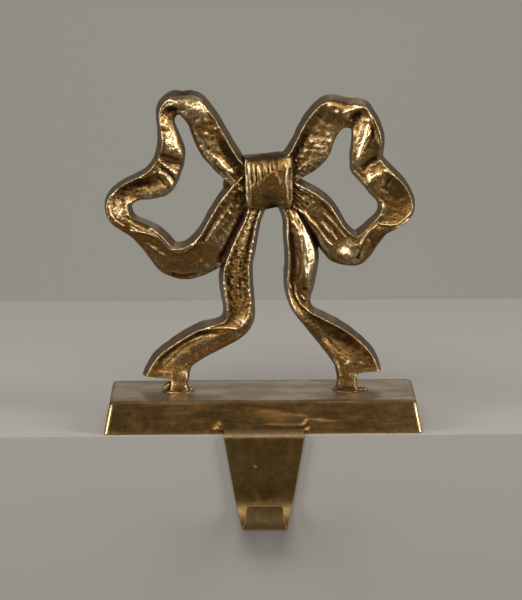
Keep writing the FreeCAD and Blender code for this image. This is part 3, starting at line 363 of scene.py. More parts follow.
# Broader forms, read off a second enlargement of the left loop.
LEFT_LOOP_FORMS = ((95, 75), 7.467, [
    (-2.0, 2.7, [(650, 165), (740, 180), (820, 215)]), (0.9, 2.2, [(735, 335), (815, 370)]),
    (-1.9, 1.1, [(545, 174), (620, 162), (700, 150), (780, 158)]),
    (-0.5, 1.6, [(640, 230), (690, 300)]),
    (-2.6, 1.5, [(258, 1068), (310, 1090), (370, 1118), (432, 1152)]),
    (-1.2, 1.1, [(290, 945), (400, 930), (500, 912), (590, 870)]),
    (-0.8, 0.9, [(700, 370), (740, 470), (800, 600), (860, 690)]),
    (1.3, 2.4, [(560, 510), (600, 590)]),
    (0.5, 1.0, [(510, 380)]),
    (-2.3, 2.6, [(215, 835), (200, 885)]), (2.1, 2.8, [(155, 1040), (205, 1075)]),
    (0.4, 0.6, [(140, 900)]), (-0.4, 0.6, [(170, 930)]), (0.4, 0.6, [(190, 960)]),
    (-0.4, 0.6, [(140, 970)]), (0.4, 0.7, [(200, 1010)]), (-0.35, 0.5, [(215, 975)]),
    (0.9, 1.7, [(236, 900), (258, 1000)]),
    (-0.5, 0.5, [(585, 540)]),
    (-0.8, 1.0, [(560, 1490), (660, 1510), (760, 1490)]),
    (0.5, 0.9, [(900, 650), (960, 700), (1030, 745)]),
    (0.35, 0.4, [(940, 620), (990, 680), (1060, 740)]),
    (-0.4, 0.5, [(960, 720)]), (0.4, 0.5, [(880, 640)]), (-0.5, 0.5, [(905, 600)]),
    (-0.5, 0.6, [(790, 520)]), (0.5, 0.6, [(830, 440)]), (0.5, 0.6, [(905, 410)]),
    (-0.5, 0.6, [(870, 440)]), (0.45, 0.6, [(760, 560)]), (-0.4, 0.6, [(850, 560)]),
])
BOW_MARKS = (LEFT_LOOP_FORMS, LEFT_LOOP_MARKS, RIGHT_LOOP_MARKS, LEFT_TAIL_MARKS, RIGHT_TAIL_MARKS)


def relief(x, z, groups, plane):
    # Everything that the marks raise or sink at the places (x, z) of a front.
    rise = np.zeros_like(x)
    for corner, enlarged, marks in groups:
        for height, wide, places in marks:
            line = [on_front(corner[0] + px / enlarged, corner[1] + py / enlarged, plane)
                    for px, py in places]
            lows = np.min(line, axis=0) - 3 * wide
            highs = np.max(line, axis=0) + 3 * wide
            near = (x > lows[0]) & (x < highs[0]) & (z > lows[1]) & (z < highs[1])
            if not near.any():
                continue
            px, pz = x[near], z[near]
            if len(line) == 1:
                gap = np.hypot(px - line[0][0], pz - line[0][1])
                rise[near] += height * np.exp(-(gap / wide) ** 2)
                continue
            runs = [0.0]
            for (ax, az), (bx, bz) in zip(line, line[1:]):
                runs.append(runs[-1] + math.hypot(bx - ax, bz - az))
            gap = np.full(px.shape, 99.0)
            along = np.zeros(px.shape)
            for i, ((ax, az), (bx, bz)) in enumerate(zip(line, line[1:])):
                length = max(runs[i + 1] - runs[i], 1e-6)
                t = ((px - ax) * (bx - ax) + (pz - az) * (bz - az)) / length ** 2
                t = np.clip(t, 0, 1)
                away = np.hypot(px - ax - t * (bx - ax), pz - az - t * (bz - az))
                closer = away < gap
                gap[closer] = away[closer]
                along[closer] = (runs[i] + t * length)[closer]
            fade = np.clip(np.minimum(along, runs[-1] - along) / (1.5 * wide), 0.25, 1)
            rise[near] += height * fade * np.exp(-(gap / wide) ** 2)
    return rise


def ripple(x, z, size, seed):
    places = np.stack([x.ravel() / size, z.ravel() / size], -1)
    values = [noise.noise((a, b, seed)) for a, b in places]
    return np.array(values).reshape(x.shape)


def fold_height(dips, places):
    # The five relief places of a rung, joined smoothly across the ribbon.
    at = np.array([0.0, 0.2, 0.5, 0.8, 1.0])
    slopes = np.empty_like(dips)
    slopes[:, 1:-1] = (dips[:, 2:] - dips[:, :-2]) / (at[2:] - at[:-2])
    slopes[:, 0] = (dips[:, 1] - dips[:, 0]) / 0.2
    slopes[:, -1] = (dips[:, -1] - dips[:, -2]) / 0.2
    i = np.clip(np.searchsorted(at, places, side="right") - 1, 0, 3)
    wide = at[i + 1] - at[i]
    t = (places - at[i]) / wide
    return (dips[:, i] * (2 * t ** 3 - 3 * t ** 2 + 1)
            + slopes[:, i] * wide * (t ** 3 - 2 * t ** 2 + t)
            + dips[:, i + 1] * (3 * t ** 2 - 2 * t ** 3)
            + slopes[:, i + 1] * wide * (t ** 3 - t ** 2))


def placed(name, what):
    part = bpy.data.objects.new(name, what)
    bpy.context.collection.objects.link(part)
    return part


def closed_mesh(name, grid):
    # A tube of rows, each a closed outline, with its two ends filled.
    rows, columns = grid.shape[:2]
    faces = []
    for i in range(rows - 1):
        for j in range(columns):
            k = (j + 1) % columns
            faces.append((i * columns + j, i * columns + k,
                          (i + 1) * columns + k, (i + 1) * columns + j))
    faces.append(tuple(range(columns))[::-1])
    faces.append(tuple(range((rows - 1) * columns, rows * columns)))
    mesh = bpy.data.meshes.new(name)
    mesh.from_pydata((grid.reshape(-1, 3) * MM).tolist(), [], faces)
    part = placed(name, mesh)
    outwards(part)
    return part


def outwards(part):
    soft = bmesh.new()
    soft.from_mesh(part.data)
    bmesh.ops.recalc_face_normals(soft, faces=soft.faces)
    if soft.calc_volume(signed=True) < 0:
        bmesh.ops.reverse_faces(soft, faces=soft.faces)
    soft.to_mesh(part.data)
    soft.free()


# What all the ribbons share, in millimetres: the mesh's step, the rounding and the rim of
# their front edges, how far their cast sides wander, and the waves and ripples of the skin.
STEP = 0.48
EDGE_ROUND = 0.6
RIM_WIDE = 0.5
SIDE_WANDER = 0.35
SKIN_WAVE, SKIN_RIPPLE = 0.16, 0.15
CRUMPLE_FADE = 16
OPEN_END_ROUND, OPEN_END_LEAN = 0.8, 1.3
TOP_OF_BOW = 148.02


def cast_ribbon(name, rungs, spare, seed, drafts, rims, knot_end=0, gathers=(),
                open_end=False, crumpled=(0.42, 26)):
    # The spare is how far it reaches behind the flat back until that is cut. The drafts are
    # how far each of its two sides leans in at the ribbon's start and end, the rims how high
    # its two front edges stand, and the gathers are folds that run out from the knot, each
    # with its place across, height, half width and reach. The crumples are so high next to
    # the knot and are gone so far away from it.
    starts = sharpened([r[0] for r in rungs])
    ends = sharpened([r[1] for r in rungs])
    dips = np.array([r[2] for r in rungs], float)
    fine = np.linspace(0, len(rungs) - 3, 600)
    a, b = held_curve(starts, fine), held_curve(ends, fine)
    pace = np.maximum(np.hypot(*np.diff(a, axis=0).T), np.hypot(*np.diff(b, axis=0).T))
    run = np.concatenate([[0], np.cumsum(pace)])
    rows = int(run[-1] / STEP) + 1
    places = np.interp(np.linspace(0, run[-1], rows), run, fine)
    a, b, dips = (held_curve(v, places) for v in (starts, ends, dips))
    arc = np.linspace(0, run[-1], rows)
    across = b - a
    wide = np.hypot(*across.T)[:, None]
    across = across / wide
    wander_a = ripple(a[:, 0], a[:, 1], 4.0, seed)[:, None] * SIDE_WANDER
    wander_b = ripple(b[:, 0], b[:, 1], 4.0, seed + 5)[:, None] * SIDE_WANDER
    draft_a, draft_b = (np.linspace(*pair, rows)[:, None] for pair in drafts)
    inner = wide - draft_a - draft_b
    # Places across the front: round over both edges, even between them.
    turn = EDGE_ROUND * (1 - np.cos(np.linspace(0, math.pi / 2, 5)))
    columns = int(np.median(inner) / STEP) + 1
    middle = np.linspace(0, 1, columns + 1)[1:-1]
    s = np.concatenate([np.broadcast_to(turn, (rows, 5)),
                        turn[-1] + (inner - 2 * turn[-1]) * middle,
                        inner - np.broadcast_to(turn[::-1], (rows, 5))], 1)
    share = s / inner
    heights = np.stack([FRONT - fold_height(dips[i:i + 1], share[i])[0] for i in range(rows)])
    x = a[:, :1] + across[:, :1] * (draft_a + s)
    z = a[:, 1:] + across[:, 1:] * (draft_a + s)
    heights += relief(x, z, BOW_MARKS, MARKED_PLANE)
    heights += (SKIN_WAVE * ripple(x, z, 2.4, seed + 9)
                + SKIN_RIPPLE * ripple(x, z, 1.1, seed + 13))
    from_knot = (arc if knot_end == 0 else arc[-1] - arc)[:, None]
    for place, height, half_width, reach in gathers:
        bend = place + 0.03 * ripple(from_knot, from_knot * 0 + place * 9, 7.0, seed)
        fade = np.clip((reach - from_knot) / (0.5 * reach), 0, 1)
        heights += height * fade * np.exp(-((share - bend) * inner / half_width) ** 2)
    crumple = np.clip((crumpled[1] - from_knot) / CRUMPLE_FADE, 0, 1)
    heights += crumple * crumpled[0] * ripple(x, z, 1.3, seed + 21)
    for edge, amount in ((s, rims[0]), (inner - s, rims[1])):
        heights += amount * np.exp(-((edge - EDGE_ROUND) / RIM_WIDE) ** 2)
        drop = np.clip(1 - edge / EDGE_ROUND, 0, 1)
        heights -= EDGE_ROUND * (1 - np.sqrt(1 - drop ** 2))
    pulled = np.zeros((rows, 1))
    if open_end:
        left = np.clip(1 - (arc[-1] - arc) / OPEN_END_ROUND, 0, 1)[:, None]
        heights -= OPEN_END_ROUND * (1 - np.sqrt(1 - left ** 2))
        pulled = OPEN_END_LEAN * np.clip(1 - (arc[-1] - arc) / 4.5, 0, 1)[:, None]
    # The drafted sides, from behind the flat back up to the rounded edges.
    climb = np.array([-spare] + [0.0, 0.12, 0.24, 0.36, 0.48, 0.6, 0.72, 0.84, 0.94])

    def side(place, inwards, top, draft, wander):
        up = np.where(climb < 0, climb, climb * top)
        lean = draft * up / top - wander * np.clip(1 - np.abs(up / top - 0.4), 0, 1)
        flat = place[:, None, :] + inwards[:, None, :] * lean[:, :, None]
        return np.stack([flat[..., 0], BACK - up,
                         np.minimum(flat[..., 1] + pulled * up / top, TOP_OF_BOW)], -1)

    front = np.stack([x, BACK - heights, np.minimum(z + pulled, TOP_OF_BOW)], -1)
    first = side(a, across, heights[:, :1], draft_a, wander_a)
    last = side(b, -across, heights[:, -1:], draft_b, wander_b)
    return closed_mesh(name, np.concatenate([first, front, last[:, ::-1]], 1))


# The knot band: upright pleats gathered at its sides, its lower half smooth and turned down.
KNOT_MIDDLE = (3.0, 107.5)
KNOT_WIDE = 21.4
KNOT_TALL = 24.6
KNOT_THICK = 13.0
KNOT_PLANE = -6.5
KNOT_MARKS = ((225, 140), 12.064, [
    (0.7, 0.3, [(272, 262), (281, 350), (294, 450), (305, 560), (311, 720)]),
    (-0.6, 0.45, [(250, 262), (262, 400), (272, 560), (280, 720)]),
    (-0.6, 0.3, [(312, 280), (322, 420), (335, 540)]),
    (0.5, 0.3, [(338, 262), (346, 380), (356, 450), (366, 530)]),
    (-0.5, 0.3, [(372, 290), (378, 420), (384, 520)]),
    (0.6, 0.65, [(396, 280), (402, 360), (406, 460), (414, 570)]),
    (-0.5, 0.35, [(446, 290), (448, 400), (452, 470)]),
    (0.5, 0.35, [(478, 262), (484, 340), (498, 385), (512, 440), (468, 475)]),
    (-0.5, 0.3, [(520, 330), (524, 420)]),
    (0.45, 0.3, [(545, 262), (545, 330), (552, 410)]),
    (-0.4, 0.3, [(566, 280), (570, 380)]), (0.55, 0.3, [(578, 240), (590, 355)]),
    (-0.4, 0.5, [(625, 280), (630, 400)]),
    (0.55, 0.35, [(604, 420), (645, 465), (664, 535)]),
    (0.85, 0.4, [(732, 280), (756, 370), (742, 450), (746, 540), (762, 650), (756, 740)]),
    (-0.9, 0.5, [(784, 330), (790, 450), (794, 620), (800, 740)]),
    (0.5, 0.3, [(772, 262), (806, 345), (826, 470)]),
    (-0.5, 1.6, [(420, 700), (560, 720), (680, 700)]),
])


def cast_knot(spare):
    # Rings up the band, its levels and its places across both running from -1 to 1.
    near_edge = [0.97, 0.99, 1.0]
    levels = np.concatenate([[-e for e in near_edge[::-1]], np.linspace(-0.94, 0.94, 55),
                             near_edge])
    across = np.concatenate([[-e for e in near_edge[::-1]], np.linspace(-0.95, 0.95, 75),
                             near_edge])
    rows = []
    for level in levels:
        bulge = math.sqrt(max(0.0, 1 - abs(level) ** (3.8 if level > 0 else 3.0)))
        half = KNOT_WIDE / 2 * (1.0 - 0.02 * math.cos(level * 2.2) - 0.03 * max(0, -level))
        x = across * half + 0.25 * max(0, -level)
        tilt = 0.7 * across * max(level, 0.0)
        arch = 2.4 * max(0.0, -level) ** 3 * np.clip(1 - ((across - 0.18) / 0.42) ** 2, 0, 1)
        uneven = 1.4 * max(level, 0.0) * ripple(x + 30, x * 0 + 2.2, 3.4, 2.6)
        z = KNOT_MIDDLE[1] + level * KNOT_TALL / 2 + tilt + arch + uneven
        round_off = np.sqrt(np.clip(1 - np.abs(across) ** 4, 0, 1))
        out = KNOT_THICK * (0.40 + 0.58 * bulge) * (0.66 + 0.34 * round_off)
        pleats = relief(x + KNOT_MIDDLE[0], z, [KNOT_MARKS], KNOT_PLANE)
        out = out + pleats * (0.35 + 0.65 * bulge)
        out = out + 0.14 * ripple(x + 30, z, 1.8, 3.1) + 0.10 * ripple(x + 30, z, 0.9, 4.1)
        out = np.minimum(out, KNOT_THICK)
        front = np.stack([x + KNOT_MIDDLE[0], BACK - out, z], -1)
        sides = [np.array([[p[0], BACK - (BACK - p[1]) * t, p[2]]
                           for t in (0.8, 0.6, 0.4, 0.2)]) for p in (front[0], front[-1])]
        behind = front[::-5].copy()
        behind[:, 1] = BACK + spare
        rows.append(np.concatenate([sides[0][::-1], front, sides[1], behind]))
    return closed_mesh("knot", np.array(rows))


def rounded_lump(name, centre, radii, turned=0.0):
    # A drop of braze: a ball of the given radii, turned about the front-to-back line.
    ball = bmesh.new()
    bmesh.ops.create_icosphere(ball, subdivisions=4, radius=1.0)
    for v in ball.verts:
        rough = 1 + 0.08 * noise.noise(v.co * 2.3 + Vector(centre) * 0.1)
        x, y, z = v.co.x * radii[0] * rough, v.co.y * radii[1] * rough, v.co.z * radii[2] * rough
        c, s = math.cos(turned), math.sin(turned)
        v.co = Vector((centre[0] + c * x - s * z, centre[1] + y, centre[2] + s * x + c * z)) * MM
    mesh = bpy.data.meshes.new(name)
    ball.to_mesh(mesh)
    ball.free()
    return placed(name, mesh)


def cast_foot(name, middle, wide, high, thick):
    # The tab under a tail: a plain block of the casting with filed, slightly uneven faces.
    low = BLOCK_TOP - 1
    rows = []
    for level in np.linspace(0, 1, 15):
        z = low + (high - low) * level
        half = wide / 2 * (1 + 1.4 * max(0.0, 0.4 - level) ** 1.5
                           + 0.5 * max(0.0, level - 0.35) ** 1.5)
        x = np.linspace(-half, half, 19)
        out = thick - 0.9 * np.abs(x / half) ** 5 - 12.0 * max(0.0, level - 0.72) ** 1.6
        out = out + 0.10 * ripple(x + middle, np.full(19, z), 1.8, 7.0)
        front = np.stack([x + middle, BACK - out, np.full(19, z)], -1)
        edges = []
        for p in (front[0], front[-1]):
            edges.append(np.array([[p[0], BACK - (BACK - p[1]) * t, z]
                                   for t in (0.75, 0.5, 0.25, -0.12)]))
        rows.append(np.concatenate([edges[0][::-1], front, edges[1]]))
    return closed_mesh(name, np.array(rows))


def plain_box(name, low, high):
    x0, y0, z0 = low
    x1, y1, z1 = high
    corners = [(x0, y0, z0), (x1, y0, z0), (x1, y1, z0), (x0, y1, z0),
               (x0, y0, z1), (x1, y0, z1), (x1, y1, z1), (x0, y1, z1)]
    sides = [(3, 2, 1, 0), (4, 5, 6, 7), (0, 1, 5, 4), (1, 2, 6, 5), (2, 3, 7, 6), (3, 0, 4, 7)]
    mesh = bpy.data.meshes.new(name)
    mesh.from_pydata([tuple(v * MM for v in c) for c in corners], [], sides)
    return placed(name, mesh)


def join_solids(kept, others, operation):
    # Joins the other solids to the kept one, or cuts them out of it, and drops them.
    for other in others:
        step = kept.modifiers.new("join", "BOOLEAN")
        step.operation = operation
        step.solver = "MANIFOLD"
        step.object = other
        bpy.context.view_layer.update()
        ready = bpy.context.evaluated_depsgraph_get()
        mesh = bpy.data.meshes.new_from_object(kept.evaluated_get(ready))
        kept.modifiers.clear()
        old = kept.data
        kept.data = mesh
        bpy.data.meshes.remove(old)
        bpy.data.objects.remove(other)
    return kept


def drop_flaps(part):
    # Joining leaves a few pairs of faces back to back, with nothing between them.
    soft = bmesh.new()
    soft.from_mesh(part.data)
    flaps = [face for face in soft.faces
             if len({other for edge in face.edges for other in edge.link_faces}) == 2]
    bmesh.ops.delete(soft, geom=flaps, context="FACES")
    soft.to_mesh(part.data)
    soft.free()


LEFT_FOOT, RIGHT_FOOT = -37.1, 37.4
LEANING = ((1.8, 1.8), (0.9, 0.9))
RIMMED = (0.25, 0.25)
SHORT_GATHERS = [(0.15, 0.5, 0.45, 12), (0.32, 0.55, 0.4, 18), (0.5, 0.5, 0.45, 14),
                 (0.66, 0.55, 0.4, 20), (0.83, 0.5, 0.45, 13)]
LONG_GATHERS = [(0.12, 0.35, 0.4, 20), (0.28, 0.4, 0.4, 26), (0.41, 0.35, 0.4, 18),
                (0.57, 0.4, 0.4, 22), (0.69, 0.3, 0.4, 16), (0.82, 0.35, 0.4, 24)]
bow = cast_ribbon("bow", LEFT_UPPER, spare=1.0, seed=11.0, drafts=LEANING, rims=(0.25, 0.05),
                  gathers=[(0.75, 0.7, 0.5, 14), (0.58, 0.45, 0.4, 11), (0.9, 0.4, 0.4, 9)])
bow_pieces = [
    cast_ribbon("left_lower", LEFT_LOWER, spare=1.1, seed=17.0, drafts=((1.3, 0.9), (1.5, 2.0)),
                rims=(0.05, 0.25), knot_end=1, gathers=LONG_GATHERS, crumpled=(0.55, 36)),
    cast_ribbon("right_upper", RIGHT_UPPER, spare=1.3, seed=23.0, drafts=LEANING,
                rims=(0.25, 0.05), gathers=SHORT_GATHERS[2:], crumpled=(0.42, 34)),
    cast_ribbon("right_lower", RIGHT_LOWER, spare=1.4, seed=29.0, drafts=((1.6, 0.9), (1.2, 2.0)),
                rims=(0.1, 0.25), knot_end=1, gathers=LONG_GATHERS),
    cast_ribbon("left_tail", LEFT_TAIL, spare=1.6, seed=31.0, drafts=((1.9, 1.6), (1.9, 0.7)),
                rims=RIMMED, gathers=SHORT_GATHERS, open_end=True, crumpled=(0.5, 66)),
    cast_ribbon("right_tail", RIGHT_TAIL, spare=1.9, seed=37.0, drafts=((1.8, 1.0), (1.9, 1.3)),
                rims=RIMMED, gathers=[(0.3, 0.5, 0.4, 24), (0.5, 0.5, 0.4, 20)], open_end=True),
    cast_knot(spare=2.2),
    rounded_lump("left_web", (-14.2, 4.6, 106.0), (2.9, 3.0, 3.6)),
    cast_foot("left_foot", LEFT_FOOT, wide=7.0, high=26.0, thick=9.1),
    cast_foot("right_foot", RIGHT_FOOT, wide=8.4, high=24.5, thick=8.5),
    rounded_lump("left_puddle", (LEFT_FOOT, 0.5, BLOCK_TOP), (6.9, 6.9, 1.0)),
    rounded_lump("right_puddle", (RIGHT_FOOT, 0.5, BLOCK_TOP), (6.7, 6.7, 0.9)),
    rounded_lump("left_weld", (LEFT_FOOT - 5.2, -1.2, BLOCK_TOP + 2.2), (2.9, 1.6, 1.5), 0.75),
    rounded_lump("left_nub", (LEFT_FOOT + 5.1, -2.0, BLOCK_TOP + 0.9), (1.3, 1.3, 1.2)),
    rounded_lump("right_weld", (RIGHT_FOOT + 6.2, -1.0, BLOCK_TOP + 0.2), (3.2, 1.6, 1.1)),
]
join_solids(bow, bow_pieces, "UNION")
join_solids(bow, [plain_box("behind", (-90, BACK, 0), (90, 30, 170)),
                  plain_box("below", (-90, -30, 0), (90, 30, BLOCK_TOP))], "DIFFERENCE")
drop_flaps(bow)


def points_of(mesh):
    # Every point of a mesh as (x, y, z) in millimetres.
    where = np.empty(len(mesh.vertices) * 3)
    mesh.vertices.foreach_get("co", where)
    return where.reshape(-1, 3) / MM


def write_note(mesh, name, values):
    # A value at every point, which the materials read by its name.
    note = mesh.attributes.new(name, "FLOAT", "POINT")
    note.data.foreach_set("value", values.astype(np.float32))


def blurred(field, spread):
    # A soft average of a raster, spread given in cells.
    reach = int(spread * 3) + 1
    weights = np.exp(-0.5 * (np.arange(-reach, reach + 1) / spread) ** 2)
    weights /= weights.sum()
    for axis in (0, 1):
        field = np.apply_along_axis(np.convolve, axis, field, weights, mode="same")
    return field


# Where the patina is rubbed through (positive) or still caked (negative), which also carries
# painted highlights (positive) and painted shade (negative), and where the casting's skin stayed
# coarse, read off the enlargements like the folds.
BOW_WEAR_AND_PAINTED_LIGHT = (
    ((95, 75), 7.467, [
        (1.0, 3.2, [(140, 900), (180, 1030)]), (0.8, 2.4, [(540, 380), (590, 570)]),
        (0.6, 3.4, [(150, 960), (200, 1080)]),
        (1.0, 2.6, [(740, 245), (840, 275)]), (0.5, 1.4, [(920, 640), (1040, 740)]),
        (-0.9, 1.7, [(560, 155), (740, 150)]), (-1.0, 0.8, [(610, 200), (690, 205)]),
        (-0.6, 2.0, [(980, 560), (1080, 680)]), (-0.4, 2.0, [(220, 850), (400, 850)]),
        (-0.4, 2.2, [(620, 1420), (800, 1400)]), (-0.7, 1.8, [(900, 1300), (930, 1400)]),
    ]),
    ((250, 80), 8.711, [
        (0.7, 1.6, [(1020, 300), (990, 480), (930, 690)]), (0.9, 2.2, [(980, 860), (1120, 790)]),
        (0.6, 2.6, [(550, 520), (670, 600)]), (0.5, 1.4, [(700, 230)]),
        (-0.9, 1.6, [(860, 350), (960, 290)]), (-0.8, 1.4, [(1060, 720), (970, 770)]),
        (-0.7, 1.3, [(690, 180), (780, 195), (880, 215)]), (-0.5, 1.6, [(1080, 600)]),
        (-0.6, 1.2, [(1230, 880), (1170, 990)]), (-0.6, 1.8, [(400, 600), (380, 780)]),
        (0.35, 3.5, [(1290, 960), (1260, 1150)]), (0.4, 3.0, [(760, 1440), (900, 1480)]),
        (-0.4, 2.4, [(620, 370), (720, 370)]),
    ]),
    ((225, 140), 12.064, [
        (-1.6, 2.8, [(230, 225), (480, 215), (760, 205)]), (-1.2, 1.3, [(780, 200), (790, 290)]),
        (-0.7, 2.0, [(630, 300), (700, 310)]), (-0.45, 3.5, [(330, 380), (540, 400), (720, 420)]),
        (-1.2, 4.2, [(380, 660), (700, 660)]), (-0.8, 1.8, [(150, 620), (230, 740)]),
        (-1.0, 2.0, [(500, 480), (600, 480)]), (-0.8, 1.2, [(650, 320), (690, 420)]),
        (-1.3, 1.0, [(238, 300), (246, 780)]), (-1.4, 1.0, [(806, 280), (812, 780)]),
        (-0.9, 0.7, [(338, 560), (345, 760)]), (-1.0, 1.2, [(290, 800), (560, 780), (800, 790)]),
        (-0.5, 0.6, [(318, 300), (335, 520)]), (-0.5, 0.6, [(374, 300), (384, 500)]),
        (-0.9, 1.6, [(850, 640), (820, 780)]), (-0.5, 2.0, [(1000, 1000), (1130, 1250)]),
    ]),
    ((130, 200), 7.843, [
        (0.9, 2.2, [(895, 850), (850, 910)]), (-0.8, 1.6, [(700, 400), (690, 480)]),
        (-0.25, 4.0, [(930, 150), (850, 450), (850, 780)]),
        (-0.35, 3.5, [(400, 1190), (560, 1120)]),
        (-0.3, 2.4, [(640, 1080), (800, 1060)]), (-0.9, 3.0, [(385, 1370), (385, 1450)]),
    ]),
    ((255, 220), 8.711, [
        (0.9, 2.2, [(450, 140), (480, 300), (475, 460)]), (1.0, 2.4, [(830, 200), (800, 330)]),
        (-0.7, 1.3, [(430, 560), (440, 620)]), (-0.5, 3.0, [(680, 950), (900, 1080)]),
        (-0.8, 3.4, [(795, 1330), (795, 1440)]), (-0.5, 4.5, [(420, 850), (700, 1150)]),
    ]),
)
COARSE_SKIN = (
    ((130, 200), 7.843, [
        (1.0, 3.4, [(930, 150), (860, 400), (850, 700), (830, 900)]),
        (0.8, 3.0, [(700, 130), (560, 330)]), (0.9, 2.6, [(200, 1330), (450, 1330)]),
        (0.5, 2.2, [(300, 1200), (600, 1080)]),
    ]),
    ((255, 220), 8.711, [
        (0.9, 3.2, [(760, 1130), (930, 1230)]), (0.4, 2.0, [(370, 150), (370, 500)]),
    ]),
    ((95, 75), 7.467, [
        (0.8, 2.6, [(150, 900), (180, 1030)]), (0.7, 3.0, [(820, 400), (900, 560)]),
        (0.5, 1.6, [(510, 340), (530, 400)]),
    ]),
    ((250, 80), 8.711, [
        (0.7, 3.0, [(560, 480), (660, 620)]), (0.6, 2.0, [(780, 170), (900, 200)]),
    ]),
    ((225, 140), 12.064, [
        (1.0, 1.0, [(235, 330), (240, 750)]), (1.0, 0.9, [(795, 300), (800, 780)]),
        (0.6, 2.6, [(900, 650), (1100, 800)]), (0.5, 2.0, [(260, 230), (740, 220)]),
    ]),
)

# The front is averaged on a raster of such cells, with a margin round it. The relief is
# taken against a near and a broad average, and edges are found within their own reach.
CELL = 0.3
MARGIN = 6
NEAR, BROAD = 0.9, 2.6
EDGE_REACH = 0.55
DEEPEST, HIGHEST = -1.5, 0.8


def mark_relief(part):
    # Notes at every point how far it stands above or below its surroundings, so that the
    # brass can be rubbed bright on its ridges and left dark in its hollows.
    mesh = part.data
    where = points_of(mesh)
    facing = np.empty(len(mesh.vertices) * 3)
    mesh.vertex_normals.foreach_get("vector", facing)
    facing = facing.reshape(-1, 3)
    height = BACK - where[:, 1]
    low = where[:, [0, 2]].min(axis=0) - MARGIN
    cells = ((where[:, [0, 2]] - low) / CELL).astype(int)
    shape = tuple(cells.max(axis=0) + int(MARGIN / CELL))
    weight, total = np.zeros(shape), np.zeros(shape)
    front = facing[:, 1] < -0.25
    np.add.at(weight, (cells[front, 0], cells[front, 1]), 1)
    np.add.at(total, (cells[front, 0], cells[front, 1]), height[front])
    covered = np.minimum(blurred(weight, 0.8) * 3, 1)
    edge = 1 - blurred(covered, EDGE_REACH / CELL)[cells[:, 0], cells[:, 1]]
    edge[~front] = 0
    write_note(mesh, "edge", np.clip(edge, 0, 1))
    for name, spread in (("near_relief", NEAR / CELL), ("broad_relief", BROAD / CELL)):
        level = blurred(total, spread) / np.maximum(blurred(weight, spread), 1e-6)
        rise = height - level[cells[:, 0], cells[:, 1]]
        rise[~front] = 0
        write_note(mesh, name, np.clip(rise, DEEPEST, HIGHEST))
    write_note(mesh, "side", np.clip((0.75 + facing[:, 1]) / 0.35, 0, 1))
    # The wear notes carry real rubbing and caking, and also painted highlights and painted shade.
    for name, marks in (("wear_and_painted_light", BOW_WEAR_AND_PAINTED_LIGHT), ("coarse", COARSE_SKIN)):
        amount = np.clip(relief(where[:, 0], where[:, 2], marks, MARKED_PLANE), -1, 1)
        write_note(mesh, name, amount * (facing[:, 1] < 0.2))


def smooth(part, crease=None):
    # Smooth all over, but for creases sharper than so many degrees.
    for face in part.data.polygons:
        face.use_smooth = True
    if crease:
        part.data.set_sharp_from_angle(angle=math.radians(crease))


mark_relief(bow)
smooth(bow)


class Nodes:
    # A short way to add the nodes of one tree and join them.
    def __init__(self, tree):
        self.tree = tree
        tree.nodes.clear()

    def add(self, kind, sockets=(), **settings):
        node = self.tree.nodes.new("ShaderNode" + kind)
        for name, value in settings.items():
            setattr(node, name, value)
        for name, value in dict(sockets).items():
            self.put(node.inputs[name], value)
        return node

    def put(self, socket, value):
        if isinstance(value, bpy.types.NodeSocket):
            self.tree.links.new(value, socket)
        else:
            socket.default_value = value

    def maths(self, what, a, b=0.0, c=0.0, clamp=False):
        node = self.tree.nodes.new("ShaderNodeMath")
        node.operation, node.use_clamp = what, clamp
        for socket, value in zip(node.inputs, (a, b, c)):
            self.put(socket, value)
        return node.outputs[0]

    def times(self, a, b, clamp=False):
        return self.maths("MULTIPLY", a, b, clamp=clamp)

    def plus(self, total, *shares):
        # A total and its shares, each a value and its weight, added one after another.
        for value, weight in shares:
            total = self.maths("MULTIPLY_ADD", value, weight, total)
        return total

    def note(self, name):
        return self.add("Attribute", attribute_name=name).outputs["Fac"]

    def over(self, base, *coats):
        # Coats laid over a base one after another, each with where it lies and its colour.
        for share, coat in coats:
            base = self.blend(share, base, coat)
        return base

    def spread(self, value, low, high, out_low=0.0, out_high=1.0):
        node = self.add("MapRange", {"Value": value, "From Min": low, "From Max": high,
                                     "To Min": out_low, "To Max": out_high},
                        interpolation_type="SMOOTHSTEP")
        return node.outputs["Result"]

    def blend(self, share, a, b):
        node = self.tree.nodes.new("ShaderNodeMix")
        node.data_type = "RGBA"
        self.put(node.inputs["Factor"], share)
        self.put(node.inputs[6], a)
        self.put(node.inputs[7], b)
        return node.outputs[2]

    def noise(self, size, detail=2.0, rough=0.5, stretch=(1, 1, 1)):
        # Plain noise whose lumps are about "size" millimetres across.
        place = self.add("TexCoord").outputs["Object"]
        scaled = self.add("Mapping", {"Vector": place, "Scale": tuple(s / (size * MM)
                                                                      for s in stretch)})
        return self.add("TexNoise", {"Vector": scaled.outputs[0], "Scale": 1.0,
                                     "Detail": detail, "Roughness": rough}).outputs["Fac"]


def colour(red, green, blue):
    return (red, green, blue, 1.0)


def patina_group():
    # Shared by the three brass pieces: how the dark patina and its rubbing vary.
    group = bpy.data.node_groups.new("brass_patina", "ShaderNodeTree")
    for name in ("Mottle", "Speckle", "Pits", "Warm", "Grain"):
        group.interface.new_socket(name, in_out="OUTPUT", socket_type="NodeSocketFloat")
    n = Nodes(group)
    out = group.nodes.new("NodeGroupOutput")
    n.put(out.inputs["Mottle"], n.spread(n.noise(2.4, 3.0, 0.6), 0.35, 0.68))
    n.put(out.inputs["Speckle"], n.spread(n.noise(0.75, 2.0, 0.6), 0.38, 0.66))
    n.put(out.inputs["Pits"], n.spread(n.noise(0.55, 1.5, 0.5), 0.52, 0.66))
    n.put(out.inputs["Warm"], n.spread(n.noise(9.0, 3.0, 0.6), 0.48, 0.66))
    n.put(out.inputs["Grain"], n.noise(0.3, 2.0, 0.6))
    return group


PATINA = patina_group()


